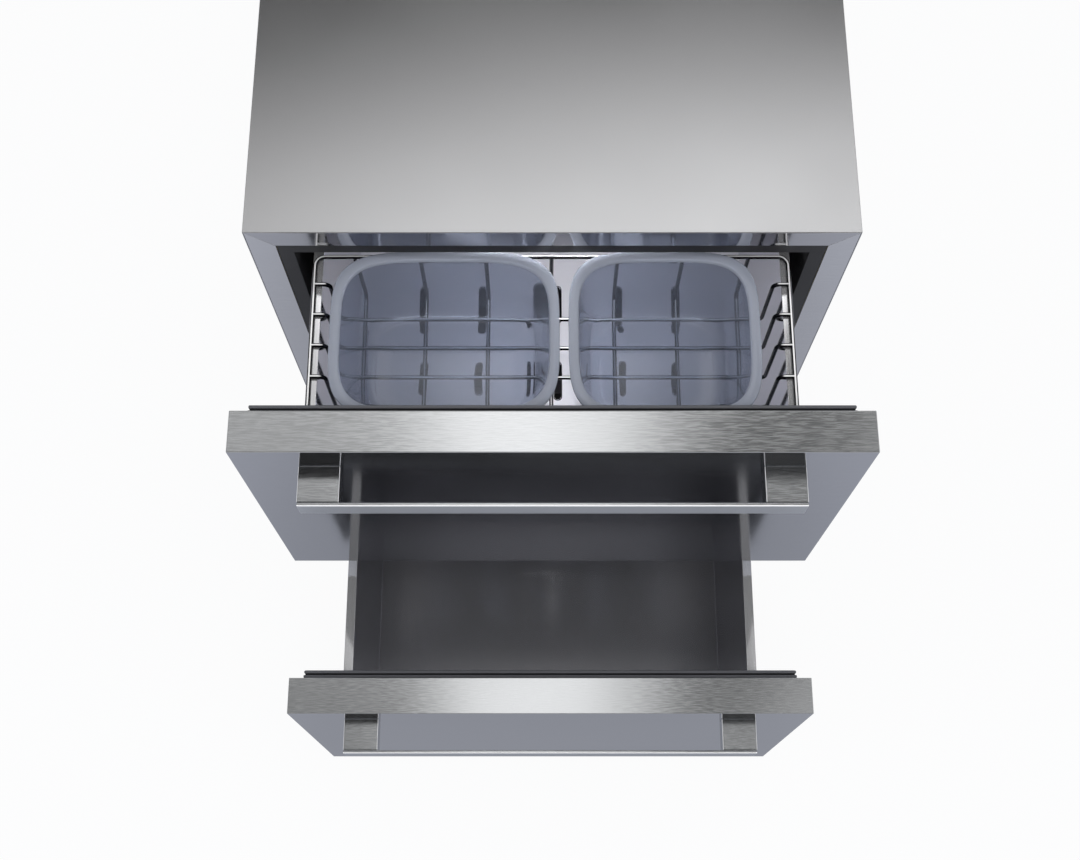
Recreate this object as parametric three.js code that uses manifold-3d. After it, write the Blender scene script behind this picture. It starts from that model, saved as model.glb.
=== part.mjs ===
// Undercounter drawer refrigerator: a stainless steel cabinet with two drawers on telescopic slides.
// Millimetres, +X to the right, +Y into the cabinet, +Z up. The drawers stand partly open, at rest.
// Inside this file Y = 0 is the plane of the cabinet's face frame and Z = 0 is the floor. The whole
// group is moved along Y at the end, so that its origin is under the middle of the open appliance.
import * as THREE from "three";
import { mergeVertices } from "three/addons/utils/BufferGeometryUtils.js";
import Module from "manifold-3d";

const wasm = await Module();
wasm.setup();

// ---------------------------------------------------------------- driving dimensions

// Cabinet
const cabinetWidth = 606;
const cabinetDepth = 553;
const overallHeight = 876;
const sheet = 1.2; // stainless sheet of the cabinet, tubs and door skins
const frameWidth = 28.3; // face frame members
const breakerWidth = 16; // plastic band between the face frame and the cavity
const linerWall = 2;
const baseHeight = 28; // underside of the base pan above the floor
const baseThickness = 2;
const toeHeight = 36; // toe space between the base pan's underside and the cabinet floor
const toeRecess = 50;
const clearance = 0.3; // between neighbouring pieces that don't touch
const insulationRear = 44;
const mullionHeight = 64;
const mullionDepth = 44;

// Cavity
const cavityDepth = 505;
const cavityFloor = 138; // height of the cavity's floor above the ground
const stepDepth = 315; // depth of the cavity in front of the machine compartment
const stepHeight = 275; // height of the step over the machine compartment
const stepInsulation = 40;

// Doors
const doorThickness = 41.3;
const upperDoorDrop = 3.5; // door's top edge below the cabinet's top
const doorGap = 6.5;
const corePanelWall = 3;
const gasketInset = 14.4;
const gasketWidth = 12;
const gasketDepth = 12;

// Handles
const handleInset = 61; // from the door's side
const handleDrop = 40; // handle's top edge below the door's top edge
const handleHeight = 25.4;
const handleReach = 40;
const handleBarThickness = 4;
const handlePostWidth = 40;

// Drawers
const upperOpening = 172; // distance that each drawer stands open at rest
const lowerOpening = 351;
const slideSpace = 24; // between a tub's wall and the cavity's
const tubFlange = 10.8;
const tubLip = 7;
const upperTubDrop = 69.5; // tub's flange below the door's top edge
const lowerTubDrop = 32;
const upperTubRise = 61.5; // tub's floor above the door's bottom edge
const lowerTubRise = 93;
const upperTubLength = 411;
const lowerTubLength = 296;
const slotWidth = 8;
const slotLength = 48;
const slotRowPitch = 100;
const slotColumnPitch = 72;
const slotRows = 4;
const slotColumnsEachSide = 3;
const firstSlotColumn = 9.3; // from the tub's middle
const firstSlotRow = 63.5; // from the tub's front wall

// Slides
const slideLength = 400;
const slideHeight = 45;
const slideSheet = 1.5;
const slideGap = 0.4; // between one member's lips and the next one's
const slideDropShare = 0.38; // of the tub's depth, from its flange down to the slide's centre
const slideSetback = 4; // behind the face frame when the drawer is shut

// Basket
const wireDiameter = 4.4;
const basketOverhang = 7.8; // rim wire past the tub's inside wall
const basketSideGap = 8; // upright wires inside it
const basketLength = 189.3;
const basketDepth = 87.5;
const basketCorner = 10;
const basketBend = 6;
const crossWirePitch = 33.6;
const crossWires = 5;
const firstCrossWire = 30.9; // from the basket's rear rim
const lengthWires = 7;
const lengthWirePitch = 67.2;
const basketFrontGap = 4; // between the tub's front wall and the basket

// Bins
const binHeight = 97.5;
const binLength = 182;
const rightBinWidth = 192;
const binGap = 8.3;
const leftBinSideGap = 11.2; // between the tub's inside wall and the bin's rim
const rightBinSideGap = 25.2;
const binRim = 9.5;
const binRimThickness = 3;
const binWall = 2.4;
const binDraft = 14; // how much the wall leans in from the rim to the floor
const binFloorRadius = 12;
const binSquareness = 4.4; // exponent of the outline's superellipse
const binRimFrontGap = 9.5;

// Feet
const footPadRadius = 19;
const footPadHeight = 6;
const studRadius = 5;
const studLength = 52;
const footInsetX = 42;
const footSetback = 26; // front feet behind the toe space
const footRearGap = 43; // rear feet in front of the cabinet's back

// Cooling
const compressorRadius = 72;
const compressorHeight = 150;
const compressorInset = 141.8; // from the side panel
const compressorSetback = 98; // behind the machine compartment's front
const mountPlateHalfWidth = 95;
const mountPlateHalfLength = 68;
const mountInset = 14;
const compressorPlateHeight = 12;
const pipeDiameter = 6;
const pipeBend = 8;
const coilTubeRadius = 4;
const coilBendReach = 8; // tubes past the outer fins
const condenserTubes = 4;
const condenserFanInset = 121.8; // from the side panel
const condenserFanSetback = 53;
const condenserFanRadius = 62;
const condenserHub = 14;
const condenserDepth = 28;
const fanPlateHalf = 84;
const evaporatorFanDrop = 101.7; // below the cavity's top
const evaporatorFanSetback = 9; // behind the cover
const evaporatorFanRadius = 44;
const evaporatorHub = 12;
const evaporatorSpace = 53; // between the cover's front and the cavity's rear
const evaporatorCoverThickness = 2;
const evaporatorSideGap = 68.7;
const evaporatorDepth = 36;
const evaporatorRise = 125; // above the step
const evaporatorFanSpace = 90; // between the coil and the fan's axis
const evaporatorTubes = 4;
const coilFins = 8;
const drainPanGap = 13;
const drainPanSetback = 43;
const drainPanLength = 120;
const drainPanWall = 2;
const drainPanHeight = 26;

// Controls, light and power
const housingHalfWidth = 90;
const housingDepth = 62;
const housingHeight = 20;
const lensHalfWidth = 70;
const lensFront = 60;
const lensLength = 26;
const lensThickness = 3;
const inletInset = 39.8; // from the side panel
const inletHeight = 62;
const inletHalfWidth = 20;
const inletHalfHeight = 16;
const inletDepth = 24;

// ---------------------------------------------------------------- levels and planes worked out from them

const halfWidth = cabinetWidth / 2;
const innerHalfWidth = halfWidth - sheet;
const frameInner = halfWidth - frameWidth;
const cavityHalfWidth = frameInner - breakerWidth;
const cabinetFloor = baseHeight + toeHeight;
const underTop = overallHeight - sheet;
const cavityTop = overallHeight - frameWidth - breakerWidth;
const baseTop = baseHeight + baseThickness;
const doorHeight = (overallHeight - upperDoorDrop - doorGap - cabinetFloor) / 2;
const tubOuter = cavityHalfWidth - slideSpace;
const tubHalfWidth = tubOuter - sheet;
const upperTubDepth = doorHeight - upperTubDrop - upperTubRise;
const lowerTubDepth = doorHeight - lowerTubDrop - lowerTubRise;
const doorBackShut = -gasketDepth;
const upperDoorTop = overallHeight - upperDoorDrop;
const lowerDoorTop = upperDoorTop - doorHeight - doorGap;
const upperFlange = upperDoorTop - upperTubDrop;
const lowerFlange = lowerDoorTop - lowerTubDrop;
const mullionBottom = lowerFlange + 3;
const machineFront = stepDepth + linerWall + stepInsulation;
const machineTop = stepHeight - linerWall - stepInsulation;
const compressorX = compressorInset - innerHalfWidth;
const compressorY = machineFront + compressorSetback;
const handleLength = cabinetWidth - 2 * handleInset;
const footFrontY = toeRecess + footSetback;
const footRearY = cabinetDepth - footRearGap;
const evaporatorCoverY = cavityDepth - evaporatorSpace;
const coverBack = evaporatorCoverY + evaporatorCoverThickness;
const condenserFan = {
  x: innerHalfWidth - condenserFanInset,
  y: machineFront + condenserFanSetback,
  z: baseTop + fanPlateHalf + 2,
  radius: condenserFanRadius,
  hub: condenserHub,
};
const evaporatorFan = {
  x: 0,
  y: coverBack + evaporatorFanSetback,
  z: cavityTop - evaporatorFanDrop,
  radius: evaporatorFanRadius,
  hub: evaporatorHub,
};

// ---------------------------------------------------------------- finishes

const finish = (color, roughness, metalness) => new THREE.MeshStandardMaterial({ color, roughness, metalness });
const stainless = finish(0xb9bcc2, 0.35, 1);
const brushedTrim = finish(0x9fa2a8, 0.4, 1);
const zinc = finish(0xa8abb0, 0.45, 0.9);
const chromeWire = finish(0x8f9196, 0.12, 1);
const charcoalPlastic = finish(0x2b2b2d, 0.55, 0);
const binPlastic = finish(0x8a92a4, 0.25, 0);
const sealRubber = finish(0x1d1d1f, 0.75, 0);
const insulationFoam = finish(0xe6dcb4, 0.9, 0);
const blackPaint = finish(0x17181a, 0.45, 0.3);
const copper = finish(0xb87452, 0.3, 1);
const finAluminium = finish(0xc9ccd0, 0.4, 1);
const lampLens = finish(0xf4f6fa, 0.4, 0);

// ---------------------------------------------------------------- geometry helpers

function boxGeometry([x0, x1], [y0, y1], [z0, z1]) {
  const geometry = new THREE.BoxGeometry(x1 - x0, y1 - y0, z1 - z0);
  return geometry.translate((x0 + x1) / 2, (y0 + y1) / 2, (z0 + z1) / 2);
}

// Rounding lets faces that share a plane share it exactly.
const snap = (value) => Math.round(value * 1e4) / 1e4;

function toSolid(geometry) {
  const bare = new THREE.BufferGeometry().setAttribute("position", geometry.getAttribute("position"));
  if (geometry.index) bare.setIndex(geometry.index);
  const merged = mergeVertices(bare, 1e-4);
  return new wasm.Manifold(
    new wasm.Mesh({
      numProp: 3,
      vertProperties: merged.getAttribute("position").array.map(snap),
      triVerts: new Uint32Array(merged.index.array),
    }),
  );
}

function toGeometry(solid) {
  const mesh = solid.getMesh();
  const geometry = new THREE.BufferGeometry();
  geometry.setAttribute("position", new THREE.BufferAttribute(mesh.vertProperties, 3));
  geometry.setIndex(new THREE.BufferAttribute(mesh.triVerts, 1));
  return geometry;
}

const fuse = (...geometries) => toGeometry(geometries.map(toSolid).reduce((whole, piece) => whole.add(piece)));

const cut = (geometry, tools) =>
  toGeometry(tools.map(toSolid).reduce((whole, tool) => whole.subtract(tool), toSolid(geometry)));

function shapeFrom(points, holes = []) {
  const shape = new THREE.Shape(points.map(([u, v]) => new THREE.Vector2(u, v)));
  for (const hole of holes) shape.holes.push(new THREE.Path(hole.map(([u, v]) => new THREE.Vector2(u, v))));
  return shape;
}

function extrude(shape, depth) {
  return new THREE.ExtrudeGeometry(shape, { depth, bevelEnabled: false, curveSegments: 8 });
}

// A section in X and Z, run along Y.
const alongY = (points, y0, y1, holes) =>
  extrude(shapeFrom(points, holes), y1 - y0).rotateX(Math.PI / 2).translate(0, y1, 0);

// A section in X and Y, run along Z.
const alongZ = (points, z0, z1, holes) => extrude(shapeFrom(points, holes), z1 - z0).translate(0, 0, z0);

// A section in Y and Z, run along X.
function alongX(points, x0, x1) {
  const turn = new THREE.Matrix4().makeBasis(
    new THREE.Vector3(0, 1, 0),
    new THREE.Vector3(0, 0, 1),
    new THREE.Vector3(1, 0, 0),
  );
  return extrude(shapeFrom(points), x1 - x0).applyMatrix4(turn).translate(x0, 0, 0);
}

const rectangle = (u0, u1, v0, v1) => [[u0, v0], [u1, v0], [u1, v1], [u0, v1]];

function polygon(cu, cv, radius, sides) {
  return Array.from({ length: sides }, (_, i) => {
    const angle = (2 * Math.PI * i) / sides;
    return [cu + radius * Math.cos(angle), cv + radius * Math.sin(angle)];
  });
}

// An outline with parallel sides and round ends, its length along V.
function slotOutline(cu, cv, width, length) {
  const steps = 3;
  const radius = width / 2;
  const reach = length / 2 - radius;
  const end = (side) =>
    Array.from({ length: steps + 1 }, (_, i) => {
      const angle = (Math.PI * i) / steps + (side > 0 ? 0 : Math.PI);
      return [cu + radius * Math.cos(angle), cv + side * reach + radius * Math.sin(angle)];
    });
  return [...end(1), ...end(-1)];
}

// A round bar along Y, with its middle line at x and z.
const barAlongY = (x, z, radius, y0, y1, sides = 16) => alongY(polygon(x, z, radius, sides), y0, y1);

// A wire that runs straight between its corners and turns at each with one bend radius.
class BentWire extends THREE.Curve {
  constructor(corners, bendRadius, bendSteps = 3) {
    super();
    this.stations = [];
    const points = corners.map((corner) => new THREE.Vector3(...corner));
    points.forEach((point, i) => {
      if (i === 0 || i === points.length - 1) {
        const other = i === 0 ? points[1].clone().sub(point) : point.clone().sub(points[i - 1]);
        this.stations.push({ point, tangent: other.normalize() });
        return;
      }
      const before = point.clone().sub(points[i - 1]).normalize();
      const after = points[i + 1].clone().sub(point).normalize();
      const turn = before.angleTo(after);
      const setback = bendRadius * Math.tan(turn / 2);
      const start = point.clone().addScaledVector(before, -setback);
      const inward = after.clone().addScaledVector(before, -after.dot(before)).normalize();
      const centre = start.clone().addScaledVector(inward, bendRadius);
      for (let step = 0; step <= bendSteps; step++) {
        const angle = (turn * step) / bendSteps;
        const tangent = before.clone().multiplyScalar(Math.cos(angle)).addScaledVector(inward, Math.sin(angle));
        const place = centre
          .clone()
          .addScaledVector(inward, -bendRadius * Math.cos(angle))
          .addScaledVector(before, bendRadius * Math.sin(angle));
        this.stations.push({ point: place, tangent });
      }
    });
  }
  get steps() {
    return this.stations.length - 1;
  }
  getPointAt(u) {
    return this.stations[Math.round(u * this.steps)].point.clone();
  }
  getTangentAt(u) {
    return this.stations[Math.round(u * this.steps)].tangent.clone();
  }
}

function wireGeometry(corners, diameter, bendRadius, sides = 6) {
  const path = new BentWire(corners, bendRadius);
  return new THREE.ExtrudeGeometry(shapeFrom(polygon(0, 0, diameter / 2, sides)), {
    steps: path.steps,
    extrudePath: path,
  });
}

// A profile swept round a closed path. Each station has its point and its outward direction, which a
// mitred corner lengthens, and the profile's second coordinate runs along the axis.
function closedSweep(stations, axis, profile) {
  const position = [];
  const index = [];
  const count = profile.length;
  for (const { point, outward } of stations)
    for (const [u, v] of profile)
      position.push(...point.map((value, i) => value + u * outward[i] + v * axis[i]));
  stations.forEach((_, i) => {
    const here = i * count;
    const there = ((i + 1) % stations.length) * count;
    for (let j = 0; j < count; j++) {
      const k = (j + 1) % count;
      index.push(here + j, there + j, there + k, here + j, there + k, here + k);
    }
  });
  return closedGeometry(position, index);
}

// A skin through rings of equal length, closed at its first and last ring by a fan.
function loft(rings) {
  const position = rings.flat(2);
  const index = [];
  const count = rings[0].length;
  for (let i = 0; i + 1 < rings.length; i++)
    for (let j = 0; j < count; j++) {
      const k = (j + 1) % count;
      const here = i * count;
      const there = here + count;
      index.push(here + j, here + k, there + k, here + j, there + k, there + j);
    }
  const lastRing = (rings.length - 1) * count;
  for (let j = 1; j + 1 < count; j++) {
    index.push(0, j + 1, j);
    index.push(lastRing, lastRing + j, lastRing + j + 1);
  }
  return closedGeometry(position, index);
}

// A geometry from its vertices and triangles, with its faces turned out.
function closedGeometry(position, index) {
  const corner = (i) => new THREE.Vector3().fromArray(position, 3 * index[i]);
  let volume = 0;
  for (let i = 0; i < index.length; i += 3) volume += corner(i).dot(corner(i + 1).cross(corner(i + 2)));
  if (volume < 0) for (let i = 0; i < index.length; i += 3) [index[i], index[i + 1]] = [index[i + 1], index[i]];
  const geometry = new THREE.BufferGeometry();
  geometry.setAttribute("position", new THREE.Float32BufferAttribute(position, 3));
  geometry.setIndex(index);
  return geometry;
}

const appliance = new THREE.Group();

function add(parent, name, material, geometry) {
  const mesh = new THREE.Mesh(geometry, material);
  mesh.name = name;
  parent.add(mesh);
  return mesh;
}

const sides = [["left", -1], ["right", 1]];

// ---------------------------------------------------------------- cabinet shell

const cabinet = new THREE.Group();
appliance.add(cabinet);

add(cabinet, "top_panel", stainless,
  boxGeometry([-halfWidth, halfWidth], [0, cabinetDepth], [underTop, overallHeight]));

for (const [side, sign] of sides) {
  const outline = [
    [0, cabinetFloor],
    [toeRecess, cabinetFloor],
    [toeRecess, baseHeight],
    [cabinetDepth, baseHeight],
    [cabinetDepth, underTop],
    [0, underTop],
  ];
  const [x0, x1] = [sign * halfWidth, sign * innerHalfWidth].sort((a, b) => a - b);
  add(cabinet, `side_panel_${side}`, stainless, alongX(outline, x0, x1));
}

const ventSlots = [];
const ventWidth = 5;
const ventLength = 60;
const ventPitch = 16;
const ventCount = 11;
for (const centre of [compressorX, condenserFan.x])
  for (let i = 0; i < ventCount; i++)
    ventSlots.push(slotOutline(centre + (i - (ventCount - 1) / 2) * ventPitch, 150, ventWidth, ventLength).reverse());

const inlet = {
  x: innerHalfWidth - inletInset,
  z: inletHeight,
  halfWidth: inletHalfWidth,
  halfHeight: inletHalfHeight,
  depth: inletDepth,
};
const inletHole = rectangle(
  inlet.x - inlet.halfWidth - clearance,
  inlet.x + inlet.halfWidth + clearance,
  inlet.z - inlet.halfHeight - clearance,
  inlet.z + inlet.halfHeight + clearance,
).reverse();
add(cabinet, "rear_panel", zinc,
  alongY(rectangle(-innerHalfWidth, innerHalfWidth, baseHeight, underTop), cabinetDepth - sheet, cabinetDepth,
    [...ventSlots, inletHole]));

const footPlaces = [
  ["front_left", -1, footFrontY],
  ["front_right", 1, footFrontY],
  ["rear_left", -1, footRearY],
  ["rear_right", 1, footRearY],
];
const footX = halfWidth - footInsetX;
const studHoleRadius = studRadius + clearance;
const studSides = 12;
add(cabinet, "base_pan", zinc,
  alongZ(rectangle(-innerHalfWidth, innerHalfWidth, toeRecess, cabinetDepth - sheet), baseHeight, baseTop,
    footPlaces.map(([, sign, y]) => polygon(sign * footX, y, studHoleRadius, studSides).reverse())));

add(cabinet, "cabinet_floor", zinc,
  boxGeometry([-innerHalfWidth, innerHalfWidth], [sheet, machineFront], [cabinetFloor, cabinetFloor + sheet]));

// The face frame's members meet at 45 degrees in each corner.
const frameCorner = (x, z) => [x, z];
const outerTop = underTop;
const innerTop = overallHeight - frameWidth;
const outerBottom = cabinetFloor;
const innerBottom = cabinetFloor + frameWidth - sheet;
for (const [side, sign] of sides) {
  const outline = [
    frameCorner(sign * innerHalfWidth, outerBottom),
    frameCorner(sign * frameInner, innerBottom),
    frameCorner(sign * frameInner, innerTop),
    frameCorner(sign * innerHalfWidth, outerTop),
  ];
  add(cabinet, `face_frame_${side}`, stainless, alongY(outline, 0, sheet));
}
add(cabinet, "face_frame_top", stainless,
  alongY([[-innerHalfWidth, outerTop], [-frameInner, innerTop], [frameInner, innerTop], [innerHalfWidth, outerTop]],
    0, sheet));
const bottomRail = sheet; // the bottom member stands on the cabinet floor's front edge
add(cabinet, "face_frame_bottom", stainless,
  alongY([[-innerHalfWidth, outerBottom], [innerHalfWidth, outerBottom], [frameInner, innerBottom],
    [-frameInner, innerBottom]], 0, bottomRail));

const mullionFront = 0.6;
add(cabinet, "face_frame_centre", stainless,
  boxGeometry([-cavityHalfWidth + clearance, cavityHalfWidth - clearance],
    [mullionFront, mullionDepth], [mullionBottom, mullionBottom + mullionHeight]));

// Toe grille: upright slots in a plate under the lower door.
const grilleSlots = [];
const grillePitch = 12;
const grilleSlotWidth = 6;
const grilleMargin = 24;
for (let x = grillePitch / 2; x < innerHalfWidth - grilleMargin; x += grillePitch)
  for (const sign of [-1, 1])
    grilleSlots.push(boxGeometry([sign * x - grilleSlotWidth / 2, sign * x + grilleSlotWidth / 2],
      [toeRecess - 1, toeRecess + sheet + 1], [baseTop + 6, cabinetFloor - 6]));
add(cabinet, "toe_kick_grille", brushedTrim,
  cut(boxGeometry([-innerHalfWidth + clearance, innerHalfWidth - clearance], [toeRecess, toeRecess + sheet],
    [baseTop, cabinetFloor - clearance]), grilleSlots));

// ---------------------------------------------------------------- liner and insulation

// Side view of the cavity, grown outwards by a margin.
const cavityOutline = (front, margin) => [
  [front, cavityFloor - margin],
  [stepDepth + margin, cavityFloor - margin],
  [stepDepth + margin, stepHeight - margin],
  [cavityDepth + margin, stepHeight - margin],
  [cavityDepth + margin, cavityTop + margin],
  [front, cavityTop + margin],
];
const flangeFront = mullionFront;
const flangeBack = flangeFront + linerWall;
const linerX = cavityHalfWidth + linerWall;
const linerBody = alongX(cavityOutline(flangeFront, linerWall), -linerX, linerX);
const linerFlange = boxGeometry([-frameInner + clearance, frameInner - clearance], [flangeFront, flangeBack],
  [innerBottom + clearance, innerTop - clearance]);
const cavity = alongX(cavityOutline(flangeFront - 1, 0), -cavityHalfWidth, cavityHalfWidth);
add(cabinet, "inner_liner", charcoalPlastic, cut(fuse(linerBody, linerFlange), [cavity]));

const foamSide = innerHalfWidth - clearance;
const foamFront = flangeBack + clearance;
const foamRear = cavityDepth + linerWall + insulationRear - clearance;
const foamOutline = [
  [foamFront, cabinetFloor + sheet + clearance],
  [machineFront, cabinetFloor + sheet + clearance],
  [machineFront, machineTop],
  [foamRear, machineTop],
  [foamRear, underTop - clearance],
  [foamFront, underTop - clearance],
];
const linerHole = alongX(cavityOutline(foamFront - 1, linerWall + clearance), -linerX - clearance, linerX + clearance);
add(cabinet, "foam_insulation", insulationFoam, cut(alongX(foamOutline, -foamSide, foamSide), [linerHole]));

// ---------------------------------------------------------------- levelling feet

const footProfile = [
  [0, 0],
  [footPadRadius, 0],
  [footPadRadius, footPadHeight / 2],
  [footPadRadius / 2, footPadHeight],
  [studRadius, footPadHeight],
  [studRadius, studLength],
  [0, studLength],
].map(([r, z]) => new THREE.Vector2(r, z));
for (const [place, sign, y] of footPlaces) {
  const foot = new THREE.LatheGeometry(footProfile, studSides).rotateX(Math.PI / 2);
  add(appliance, `levelling_foot_${place}`, zinc, foot).position.set(sign * footX, y, 0);
}

// ---------------------------------------------------------------- machine compartment

const compressorBase = baseTop + compressorPlateHeight;
const canProfile = [
  [0, 0],
  [compressorRadius * 0.8, 0],
  [compressorRadius, 16],
  [compressorRadius, compressorHeight - 40],
  [compressorRadius * 0.85, compressorHeight - 16],
  [compressorRadius * 0.45, compressorHeight],
  [0, compressorHeight],
].map(([r, z]) => new THREE.Vector2(r, z));
const can = new THREE.LatheGeometry(canProfile, 24).rotateX(Math.PI / 2)
  .translate(compressorX, compressorY, compressorBase - 1);
const mountPlate = boxGeometry([compressorX - mountPlateHalfWidth, compressorX + mountPlateHalfWidth],
  [compressorY - mountPlateHalfLength, compressorY + mountPlateHalfLength], [compressorBase - 3, compressorBase]);
const rubberMounts = [-1, 1].flatMap((sx) => [-1, 1].map((sy) =>
  alongZ(polygon(compressorX + sx * (mountPlateHalfWidth - mountInset), compressorY + sy * (mountPlateHalfLength - mountInset), 9, 10),
    baseTop, compressorBase - 1)));
add(cabinet, "compressor", blackPaint, fuse(can, mountPlate, ...rubberMounts));

// A pack of upright fins on level tubes that are joined in turn at their ends.
function finnedCoil([x0, x1], [y0, y1], [z0, z1], fins, tubes) {
  const finThickness = 1.2;
  const yMiddle = (y0 + y1) / 2;
  const pieces = [];
  const finPitch = (x1 - x0 - finThickness) / (fins - 1);
  for (let i = 0; i < fins; i++) {
    const x = x0 + i * finPitch;
    pieces.push(boxGeometry([x, x + finThickness], [y0, y1], [z0, z1]));
  }
  const tubePitch = (z1 - z0) / tubes;
  const corners = [];
  for (let i = 0; i < tubes; i++) {
    const z = z0 + (i + 0.5) * tubePitch;
    const ends = [[x0 - coilBendReach, yMiddle, z], [x1 + coilBendReach, yMiddle, z]];
    corners.push(...(i % 2 ? ends.reverse() : ends));
  }
  pieces.push(wireGeometry(corners, 2 * coilTubeRadius, tubePitch * 0.3));
  return fuse(...pieces);
}

const condenserBack = condenserFan.y - 14;
add(cabinet, "condenser_coil", finAluminium,
  finnedCoil([condenserFan.x - fanPlateHalf, condenserFan.x + fanPlateHalf],
    [condenserBack - condenserDepth, condenserBack], [baseTop, baseTop + 2 * fanPlateHalf], coilFins, condenserTubes));

// Motor with its shaft, on arms that reach round to a plate in front of the fan.
const fanGap = 4;
const hubLength = 16;
const shaftRadius = 2.5;
function fanMotor(fan, plateBack) {
  const motorRadius = fan.hub * 1.5;
  const motorFront = fan.y + hubLength / 2 + fanGap;
  const motorLength = 24;
  const armThickness = 4;
  const postStart = fan.radius + fanGap;
  const pieces = [
    barAlongY(fan.x, fan.z, motorRadius, motorFront, motorFront + motorLength),
    barAlongY(fan.x, fan.z, shaftRadius, fan.y, motorFront + 1, 8),
  ];
  for (let i = 0; i < 3; i++) {
    const arm = boxGeometry([0, postStart + 6], [motorFront, motorFront + armThickness], [-4, 4]);
    const post = boxGeometry([postStart, postStart + 6], [plateBack, motorFront + armThickness], [-4, 4]);
    const spoke = fuse(arm, post).rotateY((2 * Math.PI * i) / 3 + Math.PI / 6);
    pieces.push(spoke.translate(fan.x, 0, fan.z));
  }
  return fuse(...pieces);
}

// Hub with pitched blades, bored for the motor's shaft.
function fanRotor(fan, blades) {
  const bladeThickness = 1.6;
  const bladeChord = fan.radius * 0.38;
  const pitch = Math.PI / 6;
  const hub = barAlongY(0, 0, fan.hub, -hubLength / 2, hubLength / 2);
  const bore = barAlongY(0, 0, shaftRadius + clearance, -2, hubLength, 8);
  const pieces = [cut(hub, [bore])];
  for (let i = 0; i < blades; i++) {
    const blade = boxGeometry([fan.hub - 2, fan.radius], [-bladeThickness / 2, bladeThickness / 2],
      [-bladeChord / 2, bladeChord / 2]);
    pieces.push(blade.rotateX(pitch).rotateY((2 * Math.PI * i) / blades));
  }
  return fuse(...pieces);
}

const openRing = (fan) => polygon(fan.x, fan.z, fan.radius + fanGap - 1, 24).reverse();
const shroudBack = condenserFan.y - hubLength / 2 - 2;
const shroudPlate = alongY(
  rectangle(condenserFan.x - fanPlateHalf, condenserFan.x + fanPlateHalf, baseTop, baseTop + 2 * fanPlateHalf),
  shroudBack - 2, shroudBack, [openRing(condenserFan)]);
add(cabinet, "condenser_fan_shroud", blackPaint, fuse(shroudPlate, fanMotor(condenserFan, shroudBack - 1)));
add(appliance, "condenser_fan_rotor", charcoalPlastic, fanRotor(condenserFan, 5))
  .position.set(condenserFan.x, condenserFan.y, condenserFan.z);

// Pipe from the compressor's dome over the drain pan to the condenser's lowest tube.
const pipeRadius = pipeDiameter / 2;
const pipeTop = compressorBase + compressorHeight + 20;
const coilEndX = condenserFan.x - fanPlateHalf - coilBendReach;
const pipeDownX = coilEndX - coilTubeRadius - pipeRadius - pipeBend;
const coilMiddleY = condenserBack - condenserDepth / 2;
const lowestTube = baseTop + fanPlateHalf / condenserTubes;
add(cabinet, "refrigerant_line", copper, wireGeometry([
  [compressorX, compressorY, compressorBase - 1 + compressorHeight + clearance],
  [compressorX, compressorY, pipeTop],
  [pipeDownX, compressorY, pipeTop],
  [pipeDownX, coilMiddleY, pipeTop],
  [pipeDownX, coilMiddleY, lowestTube],
  [coilEndX - clearance, coilMiddleY, lowestTube],
], pipeDiameter, pipeBend, 8));

const panX = [compressorX + mountPlateHalfWidth + drainPanGap, pipeDownX - pipeRadius - pipeBend];
const panFront = machineFront + drainPanSetback;
const panY = [panFront, panFront + drainPanLength];
add(cabinet, "drain_pan", charcoalPlastic,
  cut(boxGeometry(panX, panY, [baseTop, baseTop + drainPanHeight]),
    [boxGeometry([panX[0] + drainPanWall, panX[1] - drainPanWall], [panY[0] + drainPanWall, panY[1] - drainPanWall],
      [baseTop + drainPanWall, baseTop + drainPanHeight + 1])]));

// Recessed power inlet with three flat contacts, set in the rear panel.
const recessWall = 4;
const recessDepth = 17;
const contactPlaces = [[-7, -3], [0, 4], [7, -3]];
const inletBody = cut(
  boxGeometry([inlet.x - inlet.halfWidth, inlet.x + inlet.halfWidth], [cabinetDepth - inlet.depth, cabinetDepth],
    [inlet.z - inlet.halfHeight, inlet.z + inlet.halfHeight]),
  [boxGeometry([inlet.x - inlet.halfWidth + recessWall, inlet.x + inlet.halfWidth - recessWall],
    [cabinetDepth - recessDepth, cabinetDepth + 1],
    [inlet.z - inlet.halfHeight + recessWall, inlet.z + inlet.halfHeight - recessWall])]);
const contacts = contactPlaces.map(([x, z]) =>
  boxGeometry([inlet.x + x - 1, inlet.x + x + 1], [cabinetDepth - recessDepth - 1, cabinetDepth - 4],
    [inlet.z + z - 2, inlet.z + z + 2]));
add(cabinet, "power_inlet", charcoalPlastic, fuse(inletBody, ...contacts));

// ---------------------------------------------------------------- evaporator at the cavity's rear

const coverHalf = cavityHalfWidth - 2;
const supplySlotPitch = 36;
const supplySlotWidth = 10;
const supplySlotLength = 50;
const supplySlotRise = 55; // above the step
const supplySlots = [];
for (let i = -4; i <= 4; i++)
  supplySlots.push(slotOutline(i * supplySlotPitch, stepHeight + supplySlotRise, supplySlotWidth, supplySlotLength)
    .reverse());
add(cabinet, "evaporator_cover", stainless,
  alongY(rectangle(-coverHalf, coverHalf, stepHeight, cavityTop - 2), evaporatorCoverY, coverBack,
    [openRing(evaporatorFan), ...supplySlots]));
add(cabinet, "evaporator_coil", finAluminium,
  finnedCoil([evaporatorSideGap - cavityHalfWidth, cavityHalfWidth - evaporatorSideGap],
    [coverBack + clearance, coverBack + clearance + evaporatorDepth],
    [stepHeight + evaporatorRise, evaporatorFan.z - evaporatorFanSpace], coilFins, evaporatorTubes));
add(cabinet, "evaporator_fan_motor", charcoalPlastic, fanMotor(evaporatorFan, coverBack));
add(appliance, "evaporator_fan_rotor", charcoalPlastic, fanRotor(evaporatorFan, 5))
  .position.set(evaporatorFan.x, evaporatorFan.y, evaporatorFan.z);

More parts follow.
